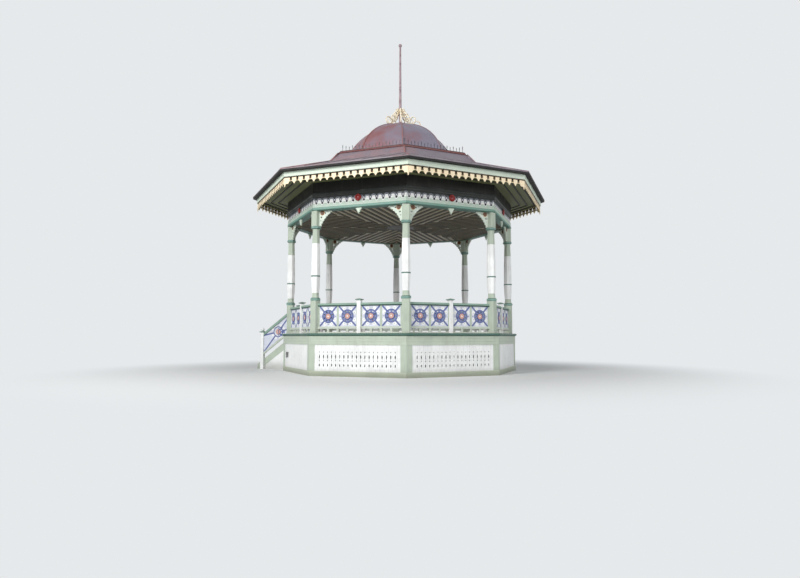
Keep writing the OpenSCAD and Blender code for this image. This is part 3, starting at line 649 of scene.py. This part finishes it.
def dress(finish: Finish, *nodes: str) -> bpy.types.Material:
    """Give CAD nodes a finish.

    Args:
        finish: The finish.
        *nodes: Names of the nodes.

    Returns:
        The material that was made.
    """
    material = finish.make()
    for name in nodes:
        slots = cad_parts[name].data.materials
        slots.clear()
        slots.append(material)
    LOG.info("%s on %s", finish.name, ", ".join(nodes))
    return material


def paint(tint: str, what: str, colour: str, *nodes: str, **looks: object) -> None:
    """Brush CAD nodes with oil paint.

    Args:
        tint: The paint's tint in words.
        what: What it was brushed on, in words.
        colour: The paint's colour.
        *nodes: Names of the nodes.
        **looks: Other attributes of the paint.
    """
    dress(OilPaint(f"{tint} oil paint, brushed on {what}", colour, **looks), *nodes)


def mitred(bars: Sequence[tuple[Sequence[float], Sequence[float]]], gap: float,
           turn: Matrix = Matrix()) -> BMesh:
    """Saw one side's bars to the mitres, and repeat them on each side of the stand.

    Args:
        bars: Size and middle of each bar, with X along the side and Y away from the flagpole.
        gap: Width of the open mitre.
        turn: How each bar is turned about its middle.

    Returns:
        The bars of all eight sides.
    """
    bm = bmesh.new()
    for size, middle in bars:
        place = Matrix.Translation(middle) @ turn @ Matrix.Diagonal((*size, 1.0))
        bmesh.ops.create_cube(bm, size=1.0, matrix=place)
    for hand in (-1, 1):
        normal = Vector((hand * math.cos(HALF), -math.sin(HALF), 0.0))
        bmesh.ops.bisect_plane(bm, geom=bm.verts[:] + bm.edges[:] + bm.faces[:], dist=ON_CUT,
                               plane_co=-normal * gap / 2, plane_no=normal, clear_outer=True)
        bmesh.ops.holes_fill(bm, edges=[e for e in bm.edges if e.is_boundary], sides=0)
    spread(bm, FIRST_SIDE)
    return bm


def spread(bm: BMesh, first: float) -> None:
    """Turn a mesh to each side or corner of the stand.

    Args:
        bm: The mesh, with Y away from the flagpole.
        first: Angle of side or corner number 0.
    """
    verts = bm.verts[:]
    whole = verts + bm.edges[:] + bm.faces[:]
    for k in range(SIDES):
        copy = bmesh.ops.duplicate(bm, geom=whole)["geom"]
        turn = Matrix.Rotation(first + 2 * k * HALF - math.pi / 2, 3, "Z")
        moved = [v for v in copy if isinstance(v, bmesh.types.BMVert)]
        bmesh.ops.rotate(bm, verts=moved, matrix=turn)
    bmesh.ops.delete(bm, geom=verts, context="VERTS")


def piece(bm: BMesh, name: str, material: bpy.types.Material,
          smooth: bool = False) -> None:
    """Make an object of a mesh and fasten it to the stand.

    Args:
        bm: The mesh, which is used up.
        name: The piece's name.
        material: Its material.
        smooth: Whether its faces are shaded smooth.
    """
    bmesh.ops.recalc_face_normals(bm, faces=bm.faces[:])
    for face in bm.faces:
        face.smooth = smooth
    mesh = bpy.data.meshes.new(name)
    bm.to_mesh(mesh)
    bm.free()
    mesh.materials.append(material)
    made = put(name, mesh)
    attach(made, "root")
    LOG.info("piece %s: %d faces", name, len(mesh.polygons))


SAGE = "#BAC5B4"
PALE_SAGE = "#D0DCCB"
RAIL_GREEN = "#8CA898"
COVE_GREEN = "#4F7367"
SHADED_DEEP_GREEN = "#34544A"
WHITE = "#F5F6F4"
CREAM = "#F8E5C0"
LILAC = "#606B9E"
PALE_LILAC = "#DADDEA"
PEACH = "#CFA093"
RED = "#8A1B1B"
BARE_COPPER = "#8A5550"


@dataclass
class Base:
    """Boarded base, from the skirting to the deck.

    Attributes:
        slot_pitch: Width of one upright of the fretted base.
        deck_board: Width of the deck's boards.
        splash: Height of the dirt that rain splashes up.
    """

    slot_pitch: float = 0.14
    deck_board: float = 0.12
    splash: float = 0.34

    def build(self) -> None:
        """Dress the base."""
        paint("sage", "skirting", "#AEB5A1", "skirting", dirt=0.3, grain=Grain.ALONG,
              splash=self.splash / 2)
        paint("sage", "corner boards", SAGE, "corner_boards", splash=self.splash)
        paint("white", "sawn uprights", WHITE, "base_panels", board=self.slot_pitch,
              offset=self.slot_pitch / 2, splash=self.splash)
        paint("sage", "fascia", "#BFC9B8", "deck_fascia", grain=Grain.ALONG)
        paint("dark green", "nosing", "#466A5E", "deck_nosing", grain=Grain.ALONG, dirt=0.3)
        dress(StainedBoards("grey-brown stained deck boards", "#85786A", "#4F4538", Grain.UP,
                            self.deck_board), "deck")
        dress(StainedBoards("rough sawn joists", "#8A7355", "#54432F"), "floor_joists")


@dataclass
class Posts:
    """The eight posts.

    Attributes:
        collar: Depth of a collar.
        cove: Depth of the dark cove along the inner edge of each collar.
        neck: Depth of the sage part between a collar and the white shaft, at the foot.
        long_neck: Depth of the sage part and the collar at the head.
        ring: Half the depth of the middle ring.
        collar_rise: Height of the lower collar's foot above the deck.
        ring_rise: Height of the middle ring above the deck.
        head: Depth of the head under the ring beam.
    """

    collar: float = 0.095
    cove: float = 0.025
    neck: float = 0.15
    long_neck: float = 0.55
    ring: float = 0.020
    collar_rise: float = 1.03
    ring_rise: float = 1.816
    head: float = 0.49

    def build(self) -> None:
        """Dress the posts."""
        deck, beam = Span.of("columns").z
        low, high = deck + self.collar_rise, beam - self.head
        middle = deck + self.ring_rise
        paint("sage and white", "turned posts", SAGE, "columns", dirt=0.16, patches=(
            Band(WHITE, low + self.collar + self.neck, high - self.long_neck),
            Band("#86A79C", low, low + self.collar),
            Band(COVE_GREEN, low + self.collar - self.cove, low + self.collar),
            Band("#7E9F95", high - self.collar, high),
            Band(COVE_GREEN, high - self.collar, high - self.collar + self.cove),
            Band("#54796C", middle - self.ring, middle + self.ring),
        ))


@dataclass
class Balustrade:
    """Fretted panels, rails and newels between the posts and beside the stair.

    Attributes:
        layers: Paint of each layer of a fretted board, with the distance from the board's
            middle past which it starts. The last, the rosette's pale button, is partly a painted
            highlight.
        drip: Depth of the dark line under the top rail, dark green paint deepened by painted
            shade.
        cap: Depth of a newel's cap.
        ball: Height of a stair newel's ball above its cap.
        panels: Distance from a bay's middle to a panel's, and distance between two panels.
        rounds: Radius of the blue ground inside a panel's ring, and of the rosette's peach heart
            and its blue rim.
    """

    layers: tuple[tuple[str, float], ...] = (
        (WHITE, 12.5 * MM), (SAGE, 15 * MM), (LILAC, 17 * MM), (PEACH, 21 * MM),
        # The rosette's pale button is partly its own paint and partly a painted highlight
        ("#F3E2DA", 27 * MM),
    )
    drip: float = 0.034
    cap: float = 0.066
    ball: float = 0.11
    panels: Pair = (0.3957, 0.6665)
    rounds: Triple = (0.178, 0.085, 0.112)

    def build(self) -> None:
        """Dress the balustrade."""
        _, plane, height = Span.of("balustrade_1").middle()
        self.fret("fretwork", plane, (*self.panels, height),
                  *[f"balustrade_{n}" for n in range(1, SIDES)])
        along, _, _ = Span.of("entrance_panels", STAIR_SIDE).middle()
        self.fret("entrance fretwork", plane, (along, LONE, height), "entrance_panels")
        aside, out, up = Span.of("stair_panels", STAIR_SIDE).middle()
        self.fret("stair fretwork", aside, (out, LONE, up), "stair_panels", across=True)
        low = Span.of("top_rails").z[0]
        # Dark line under the top rail: dark green paint deepened by painted shade
        paint("grey-green", "rails", RAIL_GREEN, "top_rails", grain=Grain.ALONG,
              patches=(Band(SHADED_DEEP_GREEN, low - PAST, low + self.drip),))
        paint("grey-green", "stair rails", RAIL_GREEN, "stair_rails")
        paint("pale sage", "bottom rails", "#CBD3C6", "bottom_rails", grain=Grain.ALONG)
        for node, ball in (("rail_newels", 0.0), ("stair_newels", self.ball)):
            top = Span.of(node).z[1] - ball
            paint("white and sage", node, WHITE, node, dirt=0.14,
                  patches=(Band("#7F998D", top - self.cap, top),))

    def fret(self, what: str, plane: float, middle: Triple, *nodes: str,
             across: bool = False) -> None:
        """Paint a fretted board, one colour a layer.

        Args:
            what: What the board is, in words.
            plane: Distance to the middle of the board.
            middle: Where its rosettes are: the first one, the pitch and the height.
            *nodes: Names of the nodes.
            across: Whether the board stands square to the side.
        """
        well, heart, rim = self.rounds
        layers = (
            Rings("#7985B4", *middle, 0.0, well, across),
            *(Relief(colour, plane, proud, across) for colour, proud in self.layers),
            Rings("#4B5790", *middle, heart, rim, across),
        )
        paint("white, lilac and peach", what, PALE_LILAC, *nodes, dirt=0.12, patches=layers)


@dataclass
class Stair:
    """Entrance stair on the left rear side."""

    def build(self) -> None:
        """Dress the stair."""
        dress(StainedBoards("worn brown stained treads", "#9B8568", "#5D4C3B", Grain.ALONG),
              "stair_treads")
        paint("white", "risers", "#E3E5E0", "stair_risers", grain=Grain.ALONG, dirt=0.35)
        paint("sage", "strings", SAGE, "stair_strings", splash=0.3)
        paint("white", "stair sides", WHITE, "stair_sides", splash=0.42)


@dataclass
class Entablature:
    """Ring beam, pierced frieze, cornice, brackets and pendants.

    Attributes:
        motifs: Motifs between the roundel and each corner.
        wide: Half the roundel's motif, in motifs.
        spring: Depth of the arches' middles below the frieze's top, in motifs.
        arc: Inner and outer radius of the grey-lilac arches, lilac paint with painted shade, in
            motifs.
        spandrel: Height above those middles at which the eave's painted shade starts, in motifs.
        legs: Depth below those middles at which the arches end, in motifs.
        drop: Height of the middle of a drop of painted shade above the strip.
        drop_r: Radius of a drop, in motifs.
        tuck: How far the white foot reaches down behind the strip.
        shade: Height of the painted shade along the foot of the ring beam.
        green: Height of the cornice's foot, dark green with less painted shade than above.
        boss: Distance of a bracket's boss from the middle of the side, and depth below the beam.
        boss_r: Radius of the boss with its gold ring.
        boss_half: Half its thickness, and the distance from its middle past which it is brown.
    """

    motifs: int = 6
    wide: float = 0.85
    spring: float = 0.52
    arc: Pair = (0.26, 0.46)
    spandrel: float = 0.15
    legs: float = 0.12
    drop: float = 0.012
    drop_r: float = 0.17
    tuck: float = 0.05
    shade: float = 0.034
    green: float = 0.16
    boss: Pair = (1.2995, 0.068)
    boss_r: float = 0.078
    boss_half: Pair = (35 * MM, 25 * MM)

    def build(self) -> None:
        """Dress the entablature."""
        (low, high), strip = Span.of("ring_beam").z, Span.of("beam_strip").z[0]
        paint("green", "ring beam", "#759E8F", "ring_beam", grain=Grain.ALONG,
              # Painted shade along the beam's foot
              patches=(Band("#466F62", low - PAST, low + self.shade),
                       # The plate above the strip painted near-black, as painted shade seen
                       # through the frieze's holes
                       Band("#14170F", strip, high + PAST)))
        paint("pale sage", "scalloped strip", "#BFD0C1", "beam_strip", grain=Grain.ALONG,
              dirt=0.12)
        self.paint_frieze()
        dress(PaintedMetal("red gloss paint on turned roundels", RED, "#5A1413", 0.15, 30.0,
                           roughness=0.2), "roundels")
        low = Span.of("cornice").z[0]
        # Dark green paint, made near-black by painted shade under the eave, less dark at its foot
        paint("near-black green", "cornice", "#0E100B", "cornice", grain=Grain.ALONG, dirt=0.1,
              patches=(Band("#18201C", low - PAST, low + self.green),))
        self.paint_brackets()
        paint("pale sage", "pendants", PALE_SAGE, "beam_pendants", dirt=0.12)

    def paint_frieze(self) -> None:
        """White frieze with grey-lilac arches of lilac paint and painted shade, painted shade
        across its top, and dark drops of painted shade between the motifs.
        """
        strip = Span.of("beam_strip")
        pitch = strip.d[1] * math.tan(HALF) / (self.motifs + self.wide + 0.5)
        low, high = strip.z[1], Span.of("frieze").z[1]
        first, spring = (self.wide - 0.5) * pitch, high - self.spring * pitch
        inner, edge = (r * pitch for r in self.arc)
        paint("white and lilac", "frieze", WHITE, "frieze", dirt=0.1, patches=(
            # Painted shade of the eave across the frieze's top, between the arches
            Band("#2E3533", spring + self.spandrel * pitch, high),
            # Grey-lilac arches: lilac paint with painted shade from the eave
            Rings("#7F828E", first, pitch, spring, inner, edge),
            Rings(WHITE, first, pitch, spring, 0.0, inner),
            Band(WHITE, low - self.tuck, spring - self.legs * pitch),
            # Dark drops between the motifs: painted shade in the frieze's holes
            Rings("#2F3336", first + pitch / 2, pitch, low + self.drop, 0.0,
                  self.drop_r * pitch),
        ))

    def paint_brackets(self) -> None:
        """White brackets, each with a brown boss in a gold ring."""
        brackets = Span.of("brackets")
        (out, down), (half, proud) = self.boss, self.boss_half
        paint("white, gold and brown", "brackets", "#D3DDCF", "brackets", dirt=0.12, patches=(
            Rings("#B98D58", out, LONE, brackets.z[1] - down, 0.0, self.boss_r),
            Relief("#5C341B", brackets.d[1] - half, proud),
        ))


@dataclass
class Ceiling:
    """Battens under the ceiling and the eave.

    Attributes:
        ceiling: Width, pitch and depth of the ceiling's dark battens.
        eave: The same for the eave's.
        eave_out: Distance from the outermost of these to the valance.
        gap: Width of the open mitres.
        clear: Gap between the battens and the edge of the ceiling.
        hub: Distance from the flagpole at which the battens end.
        hub_drop: How far the middle board hangs below the lining.
        hub_edge: Thickness of the middle board's dark part.
    """

    ceiling: Triple = (0.100, 0.248, 0.020)
    eave: Triple = (0.045, 0.260, 0.024)
    eave_out: float = 0.195
    gap: float = 0.008
    clear: float = 2 * MM
    hub: float = 0.525
    hub_drop: float = 0.015
    hub_edge: float = 5 * MM

    def build(self) -> None:
        """Dress the ceiling and the soffit, and nail the battens under them."""
        hub = Span.of("ceiling").z[0]
        dress(OilPaint("tan paint on ceiling lining, dark on the middle board", "#ABA086",
                       grime="#7A7360",
                       patches=(Band("#25231A", hub - PAST, hub + self.hub_edge),)), "ceiling")
        dress(StainedBoards("olive stained eave boards", "#686B45", "#494C2F", Grain.ALONG),
              "soffit")
        self.ceiling_battens()
        self.eave_battens()

    def ceiling_battens(self) -> None:
        """Dark battens that run square to each side, sawn to the mitres."""
        width, pitch, depth = self.ceiling
        lining = Span.of("ceiling")
        outer = lining.d[1] - self.clear
        z = lining.z[0] + self.hub_drop - depth / 2
        size = (width, outer - self.hub, depth)
        count = int(outer * math.tan(HALF) / pitch)
        bars = [(size, (i * pitch, (outer + self.hub) / 2, z)) for i in range(-count, count + 1)]
        stain = StainedBoards("dark stained ceiling battens", "#4F4B3B", "#302D21")
        piece(mitred(bars, self.gap), "ceiling_battens", stain.make())

    def eave_battens(self) -> None:
        """Dark battens that run along each eave, sawn to the mitres."""
        width, pitch, depth = self.eave
        inner = Span.of("cornice").d[1] + width
        out = Span.of("valance").d[1] - self.eave_out
        z = Span.of("soffit").z[0] - depth / 2
        size = (2 * out * math.tan(HALF) + width, width, depth)
        bars = [(size, (0.0, y, z)) for y in np.arange(out, inner, -pitch)]
        stain = StainedBoards("dark stained eave battens", "#2A2A1F", "#191910", Grain.ALONG)
        piece(mitred(bars, self.gap), "eave_battens", stain.make())


@dataclass
class Eave:
    """Eave fascia, valance and roof edge.

    Attributes:
        shade: Depth of the painted shadow on the valance under the fascia.
        lobes: Lobes of the valance along a side, with a slot between each two.
        slot: Half the width of the brown painted shade round each slot, in lobes.
        slot_low: Depth of its foot below the top of the valance.
    """

    shade: float = 0.04
    lobes: int = 18
    slot: float = 0.18
    slot_low: float = 0.155

    def build(self) -> None:
        """Dress the eave."""
        fascia, valance = Span.of("eave_fascia").z[0], Span.of("valance")
        pitch = 2 * valance.d[1] * math.tan(HALF) / self.lobes
        paint("pale sage", "eave fascia", "#D0DDCB", "eave_fascia", grain=Grain.ALONG, dirt=0.12)
        paint("cream", "valance", CREAM, "valance", grime="#B98C4E", dirt=0.3, patches=(
            # Brown painted shade round each slot
            Comb("#5E4122", pitch, (self.lobes / 2 - 0.5) * pitch, self.slot * pitch,
                 valance.z[1] - self.slot_low, fascia),
            # Painted shadow of the fascia along the valance's top
            Band("#3A260E", fascia - self.shade, fascia),
        ))
        dress(PaintedMetal("bitumen black paint on roof edge", "#131211", "#282523", 0.3, 150.0,
                           roughness=0.75), "roof_edge")


@dataclass
class Roof:
    """Sheet roof, cresting, dome, crown and flagpole.

    Attributes:
        seam_pitch: Distance between two seams of the lower roof.
        seam: Width and height of a seam.
        seam_sunk: Depth of its foot in the sheet.
        seam_short: How much shorter than the slope it is.
        roll: Radius of the rolls on the hips.
        roll_in: Distance from the roof's edge to the end of a roll.
        moulding_out: How far the moulding stands out from the top of the band.
        moulding_cap: Depth of the moulding's dark top.
        sheet: Thickness of the roof.
        course: Height of a course of sheets on the dome.
    """

    seam_pitch: float = 0.62
    seam: Pair = (0.014, 0.015)
    seam_sunk: float = 2 * MM
    seam_short: float = 0.02
    roll: float = 0.022
    roll_in: float = 0.01
    moulding_out: float = 0.036
    moulding_cap: float = 0.024
    sheet: float = 0.026
    course: float = 0.6

    def build(self) -> None:
        """Dress the roof and add its seams and hip rolls."""
        skirt = dress(WeatheredSheet("dulled copper sheet, rolled and seamed", "#7B7279",
                                     "#8A6F70", "#6B4541", 0.15), "lower_roof")
        dress(WeatheredSheet("dulled copper sheet on the band", "#847A83", "#987C7F",
                             BARE_COPPER, 0.2), "roof_band")
        dress(WeatheredSheet("dulled copper sheet, beaten to the dome", "#8A8594", "#8F686D",
                             "#8E534C", 0.3, Grain.UP, self.course), "dome")
        rolls = dress(WeatheredSheet("red-brown copper rolls", "#8C757C", "#9A6A69", BARE_COPPER,
                                     0.35, Grain.UP), "dome_ribs")
        top = Span.of("band_moulding").z[1]
        paint("red-brown", "moulding", "#7A4643", "band_moulding", grime="#3C2828", dirt=0.5,
              grain=Grain.ALONG, patches=(Band("#332225", top - self.moulding_cap, top + PAST),))
        dress(PaintedMetal("dark paint on cast iron cresting", "#1B1E2B", "#3B2B2A", 0.3),
              "cresting")
        dress(PaintedMetal("cream and gold paint on cast zinc", "#FBF2DB", "#D6AE78", 0.3,
                           90.0), "crown")
        dress(PaintedMetal("aluminium paint on flagpole", "#A38D92", "#7F676B", 0.35, 200.0,
                           metallic=0.2), "flagpole")
        self.seams(skirt)
        self.hip_rolls(rolls)

    def seams(self, sheet: bpy.types.Material) -> None:
        """Standing seams up the slope of the lower roof, of the roof's material."""
        lower = Span.of("lower_roof")
        outer, inner = lower.d[1], Span.of("roof_band").d[1]
        low, high = lower.z[0] + self.sheet, lower.z[1]
        width, height = self.seam
        size = (width, math.hypot(outer - inner, high - low) - self.seam_short, height)
        turn = Matrix.Rotation(-math.atan2(high - low, outer - inner), 4, "X")
        lift = turn @ Vector((0.0, 0.0, height / 2 - self.seam_sunk))
        middle = Vector((0.0, (outer + inner) / 2, (low + high) / 2)) + lift
        step = Vector((self.seam_pitch, 0.0, 0.0))
        count = int(outer * math.tan(HALF) / self.seam_pitch)
        bars = [(size, middle + i * step) for i in range(-count, count + 1)]
        piece(mitred(bars, 2 * self.roll, turn), "roof_seams", sheet)

    def hip_rolls(self, sheet: bpy.types.Material) -> None:
        """Round rolls over the hips of the lower roof and the band, of the ribs' material."""
        bm = bmesh.new()
        lower, band, moulding = (Span.of(n) for n in ("lower_roof", "roof_band", "band_moulding"))
        top = moulding.z[0]
        shrink = (top - band.z[0]) / (band.z[1] - self.sheet - band.z[0])
        inner = band.d[1] - shrink * (band.d[1] - moulding.d[1] + self.moulding_out)
        ends = [(lower.d[1] - self.roll_in, lower.z[0] + self.sheet), (band.d[1], lower.z[1]),
                (inner, top)]
        points = [Vector((0.0, d / math.cos(HALF), z)) for d, z in ends]
        for start, end in zip(points, points[1:]):
            run = end - start
            turn = run.to_track_quat("Z", "X").to_matrix().to_4x4()
            place = Matrix.Translation((start + end) / 2) @ turn
            bmesh.ops.create_cone(bm, cap_ends=True, segments=12, radius1=self.roll,
                                  radius2=self.roll, depth=run.length, matrix=place)
        spread(bm, FIRST_SIDE - HALF)
        piece(bm, "hip_rolls", sheet, smooth=True)


@dataclass
class Studio:
    """Floor, lamps, background and camera.

    Attributes:
        backdrop: Colour of the background.
        floor: Colour of the floor.
        fade: Distances from the flagpole at which the floor starts to fade out and at which it
            has become the background.
        air: Colour and strength of the even light.
        lamps: Name, place, diameter and power of a key from the front left, a fill and a
            back light.
        aim: What the lamps point at.
        eye: Where the photograph was taken from.
        tilt: How far the camera was tilted up, in degrees.
        swing: Its turn about Z, in degrees.
        lens: Focal length and width of the sensor, in millimetres.
    """

    backdrop: str = "#E6E9EB"
    floor: str = "#DEDFDD"
    fade: Pair = (5.8, 13.0)
    air: tuple[str, float] = ("#F2F6FF", 0.37)
    lamps: tuple[tuple[str, Triple, float, float], ...] = (
        ("key", (-13.5, -17.5, 13.0), 9.0, 3750.0),
        ("fill", (14.0, -15.0, 9.0), 10.0, 1050.0),
        ("back", (2.0, 18.0, 13.0), 12.0, 500.0),
    )
    aim: Triple = (0.0, 0.0, 4.0)
    eye: Triple = (-0.950, -21.887, 1.223)
    tilt: float = 4.57
    swing: float = -2.46
    lens: Pair = (26.83, 36.0)

    def build(self) -> None:
        """Set up the studio."""
        self.lay_floor()
        self.light()
        self.world()
        self.camera()

    def shown(self, tree: Tree) -> Socket:
        """1 for rays from the camera or through gloss and glass, and 0 for light."""
        path = add(tree, "ShaderNodeLightPath").node.outputs
        glossy = add(tree, MATH, {0: path["Is Camera Ray"], 1: path["Is Glossy Ray"]},
                     operation="MAXIMUM")
        return add(tree, MATH, {0: glossy, 1: path["Is Transmission Ray"]}, operation="MAXIMUM")

    def lay_floor(self) -> None:
        """A round pale floor that fades into the background far from the object."""
        bm = bmesh.new()
        bmesh.ops.create_circle(bm, cap_ends=True, segments=64, radius=120.0)
        mesh = bpy.data.meshes.new("floor")
        bm.to_mesh(mesh)
        bm.free()
        material = bpy.data.materials.new("pale matt floor")
        tree = blank(material)
        point = add(tree, "ShaderNodeTexCoord", out="Object")
        away = add(tree, VECTOR, {0: point}, out="Value", operation="LENGTH")
        faded = add(tree, RANGE, {0: away, 1: self.fade[0], 2: self.fade[1]}, **SMOOTH)
        factor = add(tree, MATH, {0: faded, 1: self.shown(tree)}, operation="MULTIPLY")
        matt = add(tree, "ShaderNodeBsdfDiffuse", {"Color": linear(self.floor)})
        glow = add(tree, "ShaderNodeEmission", {"Color": linear(self.backdrop), "Strength": 1.0})
        both = add(tree, "ShaderNodeMixShader", {0: factor, 1: matt, 2: glow})
        add(tree, "ShaderNodeOutputMaterial", {"Surface": both})
        mesh.materials.append(material)
        put("floor", mesh)

    def light(self) -> None:
        """Hang the soft lamps."""
        for name, place, size, power in self.lamps:
            lamp = bpy.data.lights.new(name, "AREA")
            lamp.shape = "DISK"
            lamp.size = size
            lamp.energy = power
            made = put(name, lamp)
            made.location = place
            away = Vector(self.aim) - made.location
            made.rotation_euler = away.to_track_quat("-Z", "Y").to_euler()

    def world(self) -> None:
        """Even light from all round, and a pale background."""
        world = bpy.data.worlds.new("studio")
        bpy.context.scene.world = world
        tree = blank(world)
        light, view = (
            add(tree, "ShaderNodeBackground", {"Color": linear(colour), "Strength": strength})
            for colour, strength in (self.air, (self.backdrop, 1.0))
        )
        both = add(tree, "ShaderNodeMixShader", {0: self.shown(tree), 1: light, 2: view})
        add(tree, "ShaderNodeOutputWorld", {"Surface": both})

    def camera(self) -> None:
        """The photograph's point of view."""
        data = bpy.data.cameras.new("camera")
        data.lens, data.sensor_width = self.lens
        made = put("camera", data)
        made.location = self.eye
        made.rotation_euler = (math.radians(90 + self.tilt), 0.0, math.radians(self.swing))
        bpy.context.scene.camera = made


def main() -> None:
    """Build every sub-assembly and the studio."""
    logging.basicConfig(level=logging.INFO, format="%(name)s: %(message)s")
    for part in (Base(), Posts(), Balustrade(), Stair(), Entablature(), Ceiling(), Eave(),
                 Roof(), Studio()):
        LOG.info("building %s", type(part).__name__.lower())
        part.build()
    bpy.context.scene.view_settings.view_transform = "Standard"


if __name__ == "__main__":
    main()
